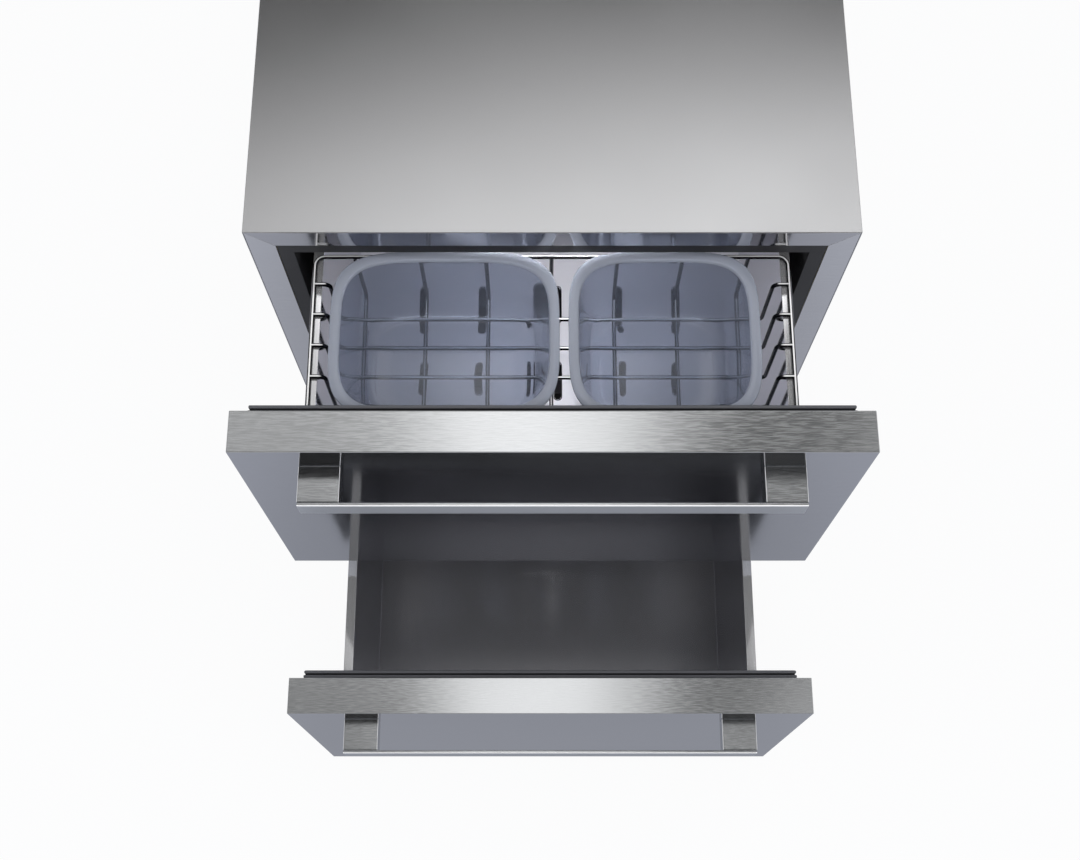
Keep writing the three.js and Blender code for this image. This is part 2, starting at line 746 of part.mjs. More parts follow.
add(cabinet, "control_housing", charcoalPlastic,
  boxGeometry([-housingHalfWidth, housingHalfWidth], [evaporatorCoverY - housingDepth, evaporatorCoverY - clearance],
    [cavityTop - housingHeight, cavityTop]));
add(cabinet, "interior_light_lens", lampLens,
  boxGeometry([-lensHalfWidth, lensHalfWidth], [lensFront, lensFront + lensLength],
    [cavityTop - lensThickness, cavityTop]));

// ---------------------------------------------------------------- slides

// One C-shaped member, open towards the side that its lips point to.
function slideMember(sign, webX, lipX, halfHeight, y0) {
  const inward = Math.sign(lipX - webX);
  const web = webX + inward * slideSheet;
  const inside = halfHeight - slideSheet;
  const outline = [
    [webX, -halfHeight],
    [lipX, -halfHeight],
    [lipX, -inside],
    [web, -inside],
    [web, inside],
    [lipX, inside],
    [lipX, halfHeight],
    [webX, halfHeight],
  ].map(([x, z]) => [sign * x, z]);
  return alongY(outline, y0, y0 + slideLength);
}

const cabinetWeb = cavityHalfWidth - clearance;
const middleWeb = cabinetWeb - 3;
const drawerWeb = tubOuter + clearance;
const lipLength = 12;
function addSlides(level, flangeHeight, tubDepth, opening, middleGroup, drawerGroup) {
  const z = flangeHeight - slideDropShare * tubDepth;
  for (const [side, sign] of sides) {
    const place = (parent, role, geometry) =>
      add(parent, `${level}_slide_${role}_${side}`, zinc, geometry.translate(0, 0, z));
    const half = slideHeight / 2;
    const step = slideSheet + slideGap;
    place(cabinet, "cabinet_member", slideMember(sign, cabinetWeb, cabinetWeb - lipLength, half, slideSetback));
    place(middleGroup, "middle_member",
      slideMember(sign, middleWeb, middleWeb - lipLength, half - step, slideSetback - opening / 2));
    place(drawerGroup, "drawer_member",
      slideMember(sign, drawerWeb, middleWeb - 3, half - 2 * step, slideSetback - opening));
  }
}

// ---------------------------------------------------------------- drawers

// Open-backed steel skin of a door.
function doorSkin(front, bottom) {
  const back = front + doorThickness;
  return cut(boxGeometry([-halfWidth, halfWidth], [front, back], [bottom, bottom + doorHeight]),
    [boxGeometry([-innerHalfWidth, innerHalfWidth], [front + sheet, back + 1],
      [bottom + sheet, bottom + doorHeight - sheet])]);
}

// Pan that closes the door's back, its rim turned to the front.
function doorInnerPanel(front, bottom) {
  const inset = sheet + clearance;
  const x = halfWidth - inset;
  const panFront = front + sheet + clearance;
  const panBack = front + doorThickness;
  return cut(boxGeometry([-x, x], [panFront, panBack], [bottom + inset, bottom + doorHeight - inset]),
    [boxGeometry([-x + corePanelWall, x - corePanelWall], [panFront - 1, panBack - corePanelWall],
      [bottom + inset + corePanelWall, bottom + doorHeight - inset - corePanelWall])]);
}

// Magnetic gasket: a ring with a groove between its base and its outer bulb.
function gasketRing(doorBack, bottom) {
  const half = gasketWidth / 2;
  const groove = half - 2;
  const reach = gasketDepth - clearance;
  const profile = [
    [-half, 0], [half, 0], [half, 4.4], [groove, 5.2], [groove, 6.4], [half, 7.2], [half, reach - 1.5],
    [half - 1.5, reach], [1.5 - half, reach], [-half, reach - 1.5], [-half, 7.2], [-groove, 6.4],
    [-groove, 5.2], [-half, 4.4],
  ];
  const inset = gasketInset + half;
  const x = halfWidth - inset;
  const [z0, z1] = [bottom + inset, bottom + doorHeight - inset];
  const stations = [[-1, -1], [1, -1], [1, 1], [-1, 1]].map(([sx, sz]) => ({
    point: [sx * x, doorBack, sz < 0 ? z0 : z1],
    outward: [sx, 0, sz],
  }));
  return closedSweep(stations, [0, 1, 0], profile);
}

// Flat bar on two square posts.
function addHandle(group, level, doorFront, doorTop) {
  const z = [doorTop - handleDrop - handleHeight, doorTop - handleDrop];
  const barFront = doorFront - handleReach;
  const barBack = barFront + handleBarThickness;
  const half = handleLength / 2;
  add(group, `${level}_handle_bar`, brushedTrim, boxGeometry([-half, half], [barFront, barBack], z));
  for (const [side, sign] of sides) {
    const x = [sign * half, sign * (half - handlePostWidth)].sort((a, b) => a - b);
    add(group, `${level}_handle_post_${side}`, brushedTrim, boxGeometry(x, [barBack, doorFront], z));
  }
}

// Folded steel tub with flanges turned out over the slides and down at their edges.
function tubGeometry(front, length, top, depth, slots) {
  const floor = top - depth;
  const edge = tubHalfWidth + tubFlange;
  const right = [
    [tubOuter, floor - sheet],
    [tubOuter, top - sheet],
    [edge - sheet, top - sheet],
    [edge - sheet, top - tubLip],
    [edge, top - tubLip],
    [edge, top],
  ];
  const left = right.map(([x, z]) => [-x, z]).reverse();
  const back = front + length;
  const inside = boxGeometry([-tubHalfWidth, tubHalfWidth], [front + sheet, back - sheet], [floor, top + 1]);
  const belowRearFlange = boxGeometry([-edge - 1, edge + 1], [back, back + tubFlange + 1],
    [floor - sheet - 1, top - sheet]);
  return cut(alongY([...right, ...left], front, back + tubFlange),
    [inside, belowRearFlange, ...slots.map((outline) => alongZ(outline, floor - sheet - 1, floor + 1))]);
}

function floorSlots(front) {
  const outlines = [];
  for (let row = 0; row < slotRows; row++)
    for (let column = 0; column < slotColumnsEachSide; column++)
      for (const sign of [-1, 1]) {
        const x = sign * (firstSlotColumn + column * slotColumnPitch);
        outlines.push(slotOutline(x, front + firstSlotRow + row * slotRowPitch, slotWidth, slotLength));
      }
  return outlines;
}

function addDrawer(level, opening, doorTop, flangeHeight, tubDepth, tubLength, slotted) {
  const middle = new THREE.Group();
  const drawer = new THREE.Group();
  appliance.add(middle, drawer);
  const doorBack = doorBackShut - opening;
  const doorFront = doorBack - doorThickness;
  const bottom = doorTop - doorHeight;
  const tubFront = doorBack + clearance;
  add(drawer, `${level}_door_skin`, stainless, doorSkin(doorFront, bottom));
  add(drawer, `${level}_door_inner_panel`, charcoalPlastic, doorInnerPanel(doorFront, bottom));
  add(drawer, `${level}_gasket`, sealRubber, gasketRing(doorBack, bottom));
  addHandle(drawer, level, doorFront, doorTop);
  add(drawer, `${level}_tub`, stainless,
    tubGeometry(tubFront, tubLength, flangeHeight, tubDepth, slotted ? floorSlots(tubFront) : []));
  addSlides(level, flangeHeight, tubDepth, opening, middle, drawer);
  return { drawer, tubFront };
}

const upper = addDrawer("upper", upperOpening, upperDoorTop, upperFlange, upperTubDepth, upperTubLength, true);
addDrawer("lower", lowerOpening, lowerDoorTop, lowerFlange, lowerTubDepth, lowerTubLength, false);

// ---------------------------------------------------------------- basket

const wireRadius = wireDiameter / 2;
const rimHeight = upperFlange + wireRadius + clearance;
const basketFloorHeight = rimHeight - basketDepth;
const basketRimHalfWidth = tubHalfWidth + basketOverhang;
const basketHalfWidth = tubHalfWidth - basketSideGap;
const basketFront = upper.tubFront + sheet + basketFrontGap + wireRadius;
const basketRear = basketFront + basketLength - wireDiameter;

function basketRim() {
  const cornerSteps = 3;
  const stations = [];
  const corners = [[1, -1, -90], [1, 1, 0], [-1, 1, 90], [-1, -1, 180]];
  for (const [sx, sy, start] of corners)
    for (let step = 0; step <= cornerSteps; step++) {
      const angle = THREE.MathUtils.degToRad(start + (90 * step) / cornerSteps);
      const outward = [Math.cos(angle), Math.sin(angle), 0];
      const x = sx * (basketRimHalfWidth - basketCorner) + basketCorner * outward[0];
      const y = (sy < 0 ? basketFront + basketCorner : basketRear - basketCorner) + basketCorner * outward[1];
      stations.push({ point: [x, y, rimHeight], outward });
    }
  return closedSweep(stations, [0, 0, 1], polygon(0, 0, wireRadius, 6));
}

function basketWires() {
  const wires = [];
  for (let i = 0; i < crossWires; i++) {
    const y = basketRear - firstCrossWire - i * crossWirePitch;
    wires.push(wireGeometry([
      [-basketRimHalfWidth, y, rimHeight],
      [-basketHalfWidth, y, rimHeight],
      [-basketHalfWidth, y, basketFloorHeight],
      [basketHalfWidth, y, basketFloorHeight],
      [basketHalfWidth, y, rimHeight],
      [basketRimHalfWidth, y, rimHeight],
    ], wireDiameter, basketBend));
  }
  const lowerWire = basketFloorHeight - wireDiameter * 0.8;
  for (let i = 0; i < lengthWires; i++) {
    const x = (i - (lengthWires - 1) / 2) * lengthWirePitch;
    wires.push(wireGeometry([
      [x, basketFront, rimHeight],
      [x, basketFront, lowerWire],
      [x, basketRear, lowerWire],
      [x, basketRear, rimHeight],
    ], wireDiameter, basketBend));
  }
  return wires;
}
add(upper.drawer, "wire_basket", chromeWire, fuse(basketRim(), ...basketWires()));

// ---------------------------------------------------------------- bins

function superellipseRing(cx, cy, a, b, z) {
  const count = 32;
  return Array.from({ length: count }, (_, i) => {
    const angle = (2 * Math.PI * (i + 0.5)) / count;
    const power = (value) => Math.sign(value) * Math.abs(value) ** (2 / binSquareness);
    return [cx + a * power(Math.cos(angle)), cy + b * power(Math.sin(angle)), z];
  });
}

function binGeometry(left, width) {
  const cx = left + width / 2;
  const bottom = basketFloorHeight + wireRadius + clearance;
  const top = bottom + binHeight;
  const front = upper.tubFront + sheet + binRimFrontGap;
  const cy = front + binLength / 2;
  const ring = (inset, z) => superellipseRing(cx, cy, width / 2 - inset, binLength / 2 - inset, z);
  const wallOuter = binRim - binWall;
  const rings = [
    ring(wallOuter + binDraft + binFloorRadius, bottom),
    ring(wallOuter + binDraft + binFloorRadius * 0.3, bottom + binFloorRadius * 0.3),
    ring(wallOuter + binDraft, bottom + binFloorRadius),
    ring(wallOuter, top - binRimThickness),
    ring(0, top - binRimThickness),
    ring(0, top - 1),
    ring(1, top),
    ring(binRim - 1, top),
    ring(binRim, top - 1),
    ring(binRim + binDraft, bottom + binFloorRadius),
    ring(binRim + binDraft + binFloorRadius * 0.4, bottom + binFloorRadius * 0.4),
    ring(binRim + binDraft + binFloorRadius, bottom + binWall),
  ];
  return loft(rings);
}
const leftBinStart = leftBinSideGap - tubHalfWidth;
const rightBinStart = tubHalfWidth - rightBinSideGap - rightBinWidth;
const leftBinWidth = rightBinStart - binGap - leftBinStart;
add(upper.drawer, "bin_left", binPlastic, binGeometry(leftBinStart, leftBinWidth));
add(upper.drawer, "bin_right", binPlastic, binGeometry(rightBinStart, rightBinWidth));

// ---------------------------------------------------------------- origin under the middle of the open appliance

const frontmost = doorBackShut - lowerOpening - doorThickness - handleReach;
appliance.position.y = -(frontmost + cabinetDepth) / 2;

export default appliance;
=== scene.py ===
"""Looks of an undercounter refrigerator with two open drawers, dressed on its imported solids.

Metres, +X to the right, +Y into the cabinet, +Z up. Every sub-assembly is a class that takes its place
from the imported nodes, holds the sizes that only its looks need, and dresses its pieces in a finish.
"""

import logging
import math
from collections.abc import Callable, Iterable, Sequence
from dataclasses import dataclass, field, replace
from enum import Enum
from functools import cache, reduce
from typing import NamedTuple

import bmesh
import bpy
from bpy.types import Material, Mesh, MeshPolygon, Node, NodeSocket, NodeTree, Object, World
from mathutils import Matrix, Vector


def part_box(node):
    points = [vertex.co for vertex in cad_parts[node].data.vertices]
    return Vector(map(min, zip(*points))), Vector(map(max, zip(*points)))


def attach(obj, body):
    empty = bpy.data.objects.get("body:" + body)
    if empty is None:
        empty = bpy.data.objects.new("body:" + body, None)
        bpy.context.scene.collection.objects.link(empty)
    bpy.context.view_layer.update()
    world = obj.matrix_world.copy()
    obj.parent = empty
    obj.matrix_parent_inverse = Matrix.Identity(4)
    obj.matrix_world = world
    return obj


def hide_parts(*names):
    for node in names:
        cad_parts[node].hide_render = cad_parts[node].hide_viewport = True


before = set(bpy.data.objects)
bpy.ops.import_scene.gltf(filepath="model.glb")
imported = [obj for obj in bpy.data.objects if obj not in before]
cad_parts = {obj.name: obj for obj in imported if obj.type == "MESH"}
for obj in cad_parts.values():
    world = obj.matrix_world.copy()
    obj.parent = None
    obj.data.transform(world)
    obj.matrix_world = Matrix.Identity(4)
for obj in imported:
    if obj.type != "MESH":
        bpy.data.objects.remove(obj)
LOG = logging.getLogger("drawer_refrigerator")
MM = 0.001

Colour = tuple[float, float, float]
Point = Sequence[float]
EdgeTest = Callable[[bmesh.types.BMEdge], bool]
FaceTest = Callable[[MeshPolygon], bool]

# Strips across a rounded edge, and the angles that count as an edge and as a crease, in degrees.
PLAIN, SOFT, FINE = 1, 2, 3
EDGE_ANGLE = 30.0
CREASE_ANGLE = 50.0
# A face looks along an axis when its normal has this share along it.
FACING = 0.9
# Most of a noise texture's values lie between these two.
NOISE_SPAN = (0.3, 0.7)


class Ramp(NamedTuple):
    """A smooth step between two numbers, taken while its input passes from low to high."""

    low: float
    high: float
    to_low: float = 0.0
    to_high: float = 1.0


class GrainRun(Enum):
    """The axis that a steel's brushing follows."""

    ACROSS = (1.0, 0.0, 0.0)
    INWARD = (0.0, 1.0, 0.0)
    UPRIGHT = (0.0, 0.0, 1.0)
    NONE = (0.0, 0.0, 0.0)


class Side(Enum):
    """Left or right, as seen from the front."""

    LEFT = -1
    RIGHT = 1

    @property
    def word(self) -> str:
        """The side's word in the nodes' names."""
        return self.name.lower()


class Level(Enum):
    """The upper or the lower drawer."""

    UPPER = "upper"
    LOWER = "lower"


# ---------------------------------------------------------------- node trees


class Graph:
    """Adds nodes to one node tree and joins their sockets."""

    def __init__(self, tree: NodeTree) -> None:
        """Takes the tree that the nodes go into."""
        self.tree = tree

    def add(self, kind: str, inputs: dict | None = None, **settings: object) -> Node:
        """Adds one node.

        Args:
            kind: the node's type.
            inputs: what its inputs take, as for feed.
            settings: the node's own properties.

        Returns:
            The new node.
        """
        node = self.tree.nodes.new(kind)
        for name, value in settings.items():
            setattr(node, name, value)
        self.feed(node, inputs or {})
        return node

    def feed(self, node: Node, inputs: dict) -> None:
        """Fills a node's inputs.

        Args:
            node: the node.
            inputs: for each input's name or number, a value or the socket that feeds it.
        """
        for key, value in inputs.items():
            if isinstance(value, NodeSocket):
                self.tree.links.new(value, node.inputs[key])
            else:
                node.inputs[key].default_value = value

    def math(self, operation: str, *values: object) -> NodeSocket:
        """Adds a Math node and returns its result."""
        return self.add("ShaderNodeMath", dict(enumerate(values)), operation=operation).outputs[0]

    def times(self, *factors: object) -> NodeSocket:
        """Adds the Math nodes that multiply numbers in turn and returns their product."""
        return reduce(lambda product, factor: self.math("MULTIPLY", product, factor), factors)

    def mix(self, share: object, first: object, second: object) -> NodeSocket:
        """Adds a Mix node for two numbers and returns its result."""
        return self.add("ShaderNodeMix", {0: share, 2: first, 3: second}, data_type="FLOAT").outputs[0]

    def blend(self, share: object, first: object, second: object) -> NodeSocket:
        """Adds a Mix node for two colours and returns its result."""
        return self.add("ShaderNodeMix", {0: share, 6: first, 7: second}, data_type="RGBA").outputs[2]

    def remap(self, value: object, low: float, high: float, to_low: object = 0.0,
              to_high: object = 1.0) -> NodeSocket:
        """Adds a smooth Map Range node and returns its result."""
        inputs = {"Value": value, "From Min": low, "From Max": high, "To Min": to_low, "To Max": to_high}
        return self.add("ShaderNodeMapRange", inputs, interpolation_type="SMOOTHSTEP").outputs["Result"]

    def noise(self, place: NodeSocket, scale: float, detail: float) -> NodeSocket:
        """Adds a Noise Texture node and returns its value."""
        inputs = {"Vector": place, "Scale": scale, "Detail": detail}
        return self.add("ShaderNodeTexNoise", inputs).outputs["Fac"]

    def relief(self, height: NodeSocket, strength: float, depth: float) -> NodeSocket:
        """Adds a Bump node and returns its normal."""
        inputs = {"Strength": strength, "Distance": depth, "Height": height}
        return self.add("ShaderNodeBump", inputs).outputs[0]


def blank_graph(holder: Material | World) -> Graph:
    """Clears the nodes of a material or a world and returns the graph of its tree."""
    holder.use_nodes = True
    holder.node_tree.nodes.clear()
    return Graph(holder.node_tree)


class Group(Graph):
    """A node group with named inputs and outputs."""

    def __init__(self, name: str, kind: str, inputs: dict[str, str], outputs: dict[str, str]) -> None:
        """Starts the group.

        Args:
            name: the group's name.
            kind: its kind of tree.
            inputs: the kind of socket, such as Float, of each input.
            outputs: the kind of socket of each output.
        """
        super().__init__(bpy.data.node_groups.new(name, kind))
        for in_out, sockets in (("INPUT", inputs), ("OUTPUT", outputs)):
            for label, socket in sockets.items():
                self.tree.interface.new_socket(label, in_out=in_out, socket_type=f"NodeSocket{socket}")
        self.given = self.add("NodeGroupInput").outputs


def brushed_grain_group() -> NodeTree:
    """Builds the group of brushing streaks: fine lines along one axis, and slow clouds over them."""
    group = Group("brushed_grain", "ShaderNodeTree", {"Place": "Vector", "Stretch": "Vector"},
                  {"Grain": "Float", "Cloud": "Float"})
    place, stretch = group.given["Place"], group.given["Stretch"]
    stretched = group.add("ShaderNodeVectorMath", {0: place, 1: stretch}, operation="MULTIPLY").outputs[0]
    grain = group.remap(group.noise(stretched, scale=1.0, detail=2.0), *NOISE_SPAN)
    group.add("NodeGroupOutput", {"Grain": grain, "Cloud": group.noise(place, scale=4.0, detail=2.0)})
    return group.tree


def moulded_skin_group() -> NodeTree:
    """Builds the group of a moulded or cast skin: a fine pebble, and slow mottling."""
    group = Group("moulded_skin", "ShaderNodeTree", {"Place": "Vector", "Pebble": "Float"},
                  {"Height": "Float", "Mottle": "Float"})
    place, pebble = group.given["Place"], group.given["Pebble"]
    cells = group.add("ShaderNodeTexVoronoi", {"Vector": place, "Scale": pebble}, feature="SMOOTH_F1")
    mottle = group.noise(place, scale=7.0, detail=4.0)
    group.add("NodeGroupOutput", {"Height": cells.outputs["Distance"], "Mottle": mottle})
    return group.tree


BRUSHED_GRAIN = brushed_grain_group()
MOULDED_SKIN = moulded_skin_group()


# ---------------------------------------------------------------- finishes


def shade(colour: Colour, change: float = 0.0) -> tuple[float, float, float, float]:
    """A colour with full alpha, made lighter or darker by a share."""
    return (*(c * (1 + change) for c in colour), 1.0)


@dataclass(frozen=True)
class Finish:
    """What every finish has: a name, the record's slot, a colour and a roughness."""

    name: str
    slot: str
    colour: Colour
    roughness: float

    @cache
    def material(self) -> Material:
        """The finish's material, built the first time that it is asked for."""
        made = bpy.data.materials.new(self.name)
        made.diffuse_color = shade(self.colour)
        graph = blank_graph(made)
        plain = {"Base Color": shade(self.colour), "Roughness": self.roughness}
        shader = graph.add("ShaderNodeBsdfPrincipled", plain)
        self.weave(graph, shader)
        graph.add("ShaderNodeOutputMaterial", {"Surface": shader.outputs[0]})
        return made

    def weave(self, graph: Graph, shader: Node) -> None:
        """Adds what the finish has beyond its plain colour.

        Args:
            graph: the material's graph.
            shader: its shader.
        """
        raise NotImplementedError

    def pattern(self, graph: Graph, group: NodeTree, size: object) -> bpy.types.NodeOutputs:
        """Adds a pattern group over the piece's own space and returns its outputs."""
        place = graph.add("ShaderNodeTexCoord").outputs["Object"]
        return graph.add("ShaderNodeGroup", {0: place, 1: size}, node_tree=group).outputs

    def shades(self, graph: Graph, mask: NodeSocket, change: float) -> NodeSocket:
        """Mixes two shades of the finish's own colour by a mask."""
        return graph.blend(mask, shade(self.colour, -change), shade(self.colour, change))


@dataclass(frozen=True)
class Steel(Finish):
    """Brushed, satin or bright metal."""

    run: GrainRun = GrainRun.NONE
    fineness: float = 1100.0
    length: float = 0.03
    contrast: float = 0.02
    spread: float = 0.02
    relief: float = 0.004
    depth: float = 0.4 * MM
    clouding: float = 0.03
    metallic: float = 1.0

    def weave(self, graph: Graph, shader: Node) -> None:
        """Adds brushing streaks to the colour, the roughness and the relief."""
        stretch = tuple(self.fineness * (self.length if along else 1.0) for along in self.run.value)
        grain, cloud = self.pattern(graph, BRUSHED_GRAIN, stretch)
        streaks = graph.remap(grain, 0.0, 1.0, self.roughness - self.spread, self.roughness + self.spread)
        clouds = graph.remap(cloud, *NOISE_SPAN, -self.clouding, self.clouding)
        graph.feed(shader, {
            "Metallic": self.metallic, "Base Color": self.shades(graph, grain, self.contrast),
            "Roughness": graph.math("ADD", streaks, clouds),
            "Normal": graph.relief(grain, self.relief, self.depth)})


@dataclass(frozen=True)
class WireWithPaintedHighlight(Steel):
    """Chromed wire: nearly black as painted dark reflection on its sides, with a painted highlight along its
    crest.
    """

    crest: Colour = (0.95, 0.95, 0.96)
    painted_highlight_metallic: float = 0.35
    painted_highlight_band: Ramp = Ramp(0.88, 0.97)

    def weave(self, graph: Graph, shader: Node) -> None:
        """Adds the painted highlight along the crest to what steel has."""
        super().weave(graph, shader)
        # Painted highlight: the colour turns light wherever the wire's normal points up.
        normal = graph.add("ShaderNodeTexCoord").outputs["Normal"]
        upward = graph.add("ShaderNodeSeparateXYZ", {0: normal}).outputs[2]
        line = graph.remap(upward, *self.painted_highlight_band)
        plain = shader.inputs["Base Color"].links[0].from_socket
        graph.feed(shader, {
            "Base Color": graph.blend(line, plain, shade(self.crest)),
            "Metallic": graph.mix(line, self.metallic, self.painted_highlight_metallic)})


@dataclass(frozen=True)
class Moulded(Finish):
    """Moulded plastic, rubber, foam or paint."""

    pebble: float = 900.0
    relief: float = 0.12
    depth: float = 0.3 * MM
    mottling: float = 0.08
    spread: float = 0.12
    gloss: float = 0.5

    def weave(self, graph: Graph, shader: Node) -> None:
        """Adds a moulded skin's pebble and its slow change of tone."""
        height, mottle = self.pattern(graph, MOULDED_SKIN, self.pebble)
        low, high = self.roughness * (1 - self.spread), min(1.0, self.roughness * (1 + self.spread))
        graph.feed(shader, {
            "Specular IOR Level": self.gloss, "Base Color": self.shades(graph, mottle, self.mottling),
            "Roughness": graph.remap(mottle, *NOISE_SPAN, low, high),
            "Normal": graph.relief(height, self.relief, self.depth)})


@dataclass(frozen=True)
class Translucent(Moulded):
    """Clear, tinted or frosted plastic that light passes through."""

    transmission: float = 0.5
    ior: float = 1.46

    def weave(self, graph: Graph, shader: Node) -> None:
        """Adds the light that passes through to what moulded plastic has."""
        super().weave(graph, shader)
        graph.feed(shader, {"Transmission Weight": self.transmission, "IOR": self.ior})


class Palette:
    """The object's finishes."""

    CABINET = Steel("cabinet_satin", "stainless", (0.62, 0.62, 0.63), 0.19, fineness=1500, contrast=0.012,
        relief=0.01, clouding=0.015)
    # The frame's stainless in two copies: the sides and bottom lighter than the cabinet's steel as painted
    # light, the top member darker than them as painted dark reflection.
    FRAME = Steel("face_frame_satin", "stainless", (0.86, 0.86, 0.88), 0.13, GrainRun.ACROSS, relief=0.008)
    HEAD = Steel("face_frame_head", "stainless", (0.69, 0.69, 0.715), 0.07, GrainRun.ACROSS, relief=0.006)
    DOOR = Steel("door_brushed", "stainless", (0.62, 0.63, 0.64), 0.14, GrainRun.ACROSS, fineness=1000,
        length=0.085, contrast=0.08)
    DOOR_FRONT = Steel("door_front_satin", "stainless", (0.62, 0.63, 0.66), 0.10, GrainRun.ACROSS,
        fineness=1500, length=0.05, relief=0.006)
    HANDLE = Steel("handle_brushed", "handle_steel", (0.55, 0.56, 0.57), 0.18, GrainRun.ACROSS,
        fineness=1000, length=0.1, contrast=0.09)
    # Near-white and mostly diffuse: a painted highlight on the handle's rounded edges.
    EDGE = Steel("handle_edge_bright", "handle_steel", (0.95, 0.95, 0.97), 0.34, metallic=0.25)
    # Satin front of the handle bar; its darker blue-grey colour is painted reflection of the floor.
    BAR_FRONT = Steel("handle_front_satin", "handle_steel", (0.43, 0.45, 0.49), 0.34, GrainRun.ACROSS,
        fineness=1500, length=0.05, metallic=0.4)
    TUB = Steel("tub_bright", "tub_steel", (0.66, 0.66, 0.71), 0.065, GrainRun.INWARD, fineness=900,
        spread=0.015, relief=0.002, clouding=0.01)
    # A darker copy of the tub's steel for the lower tub's floor: painted shade under the upper drawer.
    TUB_WELL_SHADED = replace(TUB, name="tub_well_satin", colour=(0.50, 0.50, 0.53), roughness=0.235,
        spread=0.01, metallic=0.8)
    FLANGE = replace(TUB, name="tub_flange_satin", colour=(0.90, 0.90, 0.92), roughness=0.08,
        fineness=1100, metallic=0.82)
    TUB_FLOOR = Steel("tub_floor_satin", "tub_steel", (0.74, 0.74, 0.81), 0.34, fineness=60,
        contrast=0.01, relief=0.0, clouding=0.015, metallic=0.35)
    PLATED = Steel("zinc_plated", "zinc_steel", (0.52, 0.52, 0.50), 0.38, fineness=200, contrast=0.05,
        spread=0.04, relief=0.02)
    BALLS = Steel("slide_ball_steel", "zinc_steel", (0.60, 0.60, 0.60), 0.12, fineness=700, contrast=0.04,
        spread=0.05, relief=0.01)
    # Nearly black colour: painted dark reflection on the wire's sides; its crest carries a painted
    # highlight.
    WIRE = WireWithPaintedHighlight("bright_wire", "chrome_wire", (0.035, 0.035, 0.04), 0.06, fineness=700,
        contrast=0.04, spread=0.015, relief=0.01)
    FINS = Steel("coil_fin_sheet", "fin_aluminium", (0.72, 0.73, 0.74), 0.38, GrainRun.UPRIGHT,
        contrast=0.06, spread=0.05, relief=0.05)
    COPPER = Steel("drawn_copper", "copper", (0.75, 0.42, 0.28), 0.25, fineness=200, contrast=0.10,
        spread=0.05, relief=0.05, clouding=0.08)
    BAND = Moulded("band_plastic", "charcoal_plastic", (0.022, 0.022, 0.024), 0.42, relief=0.08)
    CORE = Moulded("core_plastic", "charcoal_plastic", (0.035, 0.035, 0.038), 0.5, pebble=700, relief=0.2)
    BIN = Translucent("smoky_bin_plastic", "bin_plastic", (0.42, 0.46, 0.56), 0.03, pebble=260,
        relief=0.0, mottling=0.02, transmission=0.86)
    BIN_RIM = replace(BIN, name="smoky_bin_rim", colour=(0.31, 0.335, 0.40), roughness=0.08,
        transmission=0.3)
    SEAL = Moulded("gasket_rubber", "seal_rubber", (0.009, 0.009, 0.01), 0.6, pebble=1600, relief=0.08,
        gloss=0.12)
    # A lighter copy of the gasket rubber for its lips: painted sheen.
    SEAL_PAINTED_SHEEN = replace(SEAL, name="gasket_lip_painted_sheen", colour=(0.095, 0.097, 0.108), roughness=0.5, gloss=0.3)
    FOAM = Moulded("foam_cells", "foam", (0.72, 0.62, 0.36), 0.9, pebble=320, relief=0.5, mottling=0.15)
    PAINT = Moulded("black_enamel", "black_paint", (0.018, 0.018, 0.02), 0.3, pebble=500, relief=0.04)
    LENS = Translucent("frosted_lamp_lens", "lamp_lens", (0.86, 0.88, 0.92), 0.35, pebble=500,
        transmission=0.6)


# ---------------------------------------------------------------- meshes


def object_from(name: str, mesh: Mesh) -> Object:
    """Makes an object for a mesh, gives both one name, and links it to the scene."""
    mesh.name = name
    made = bpy.data.objects.new(name, mesh)
    bpy.context.scene.collection.objects.link(made)
    return made


def mesh_from(points: Iterable[Point], faces: Iterable[Sequence[int]]) -> Mesh:
    """Makes a mesh from its points and faces, with its faces turned outwards.

    Args:
        points: places of the vertices, in metres.
        faces: the vertices of each face.

    Returns:
        The new mesh.
    """
    mesh = bpy.data.meshes.new("mesh")
    mesh.from_pydata([tuple(p) for p in points], [], [tuple(f) for f in faces])
    work = bmesh.new()
    work.from_mesh(mesh)
    bmesh.ops.recalc_face_normals(work, faces=work.faces)
    work.to_mesh(mesh)
    work.free()
    return mesh


def polyline_mesh(runs: Iterable[Sequence[Point]], closed: bool = False) -> Mesh:
    """Makes a mesh of edges only.

    Args:
        runs: the points of each chain of edges.
        closed: whether each chain's last point joins its first.

    Returns:
        The new mesh.
    """
    points: list[tuple[float, ...]] = []
    edges: list[tuple[int, int]] = []
    for run in runs:
        start = len(points)
        points.extend(tuple(p) for p in run)
        edges.extend((start + i, start + i + 1) for i in range(len(run) - 1))
        if closed:
            edges.append((len(points) - 1, start))
    mesh = bpy.data.meshes.new("chains")
    mesh.from_pydata(points, edges, [])
    return mesh


def box_mesh(low: Point, high: Point) -> Mesh:
    """Makes the mesh of a box from its lowest and highest corners."""
    points = [(x, y, z) for z in (low[2], high[2]) for y in (low[1], high[1]) for x in (low[0], high[0])]
    faces = [(0, 2, 3, 1), (4, 5, 7, 6), (0, 1, 5, 4), (2, 6, 7, 3), (0, 4, 6, 2), (1, 3, 7, 5)]
    return mesh_from(points, faces)


def ring_mesh(rings: Sequence[Sequence[Point]], closed: bool = False) -> Mesh:
    """Makes a skin through rings of equal length.

    Args:
        rings: the rings in order.
        closed: whether the last ring joins the first; if not, a face closes each of them.

    Returns:
        The new mesh.
    """
    count = len(rings[0])
    starts = [i * count for i in range(len(rings))]
    neighbours = zip(starts, starts[1:] + starts[:1] if closed else starts[1:])
    faces: list[Sequence[int]] = [
        (here + j, here + (j + 1) % count, there + (j + 1) % count, there + j)
        for here, there in neighbours for j in range(count)]
    if not closed:
        faces += [range(count), range(starts[-1], starts[-1] + count)]
    return mesh_from([point for ring in rings for point in ring], faces)


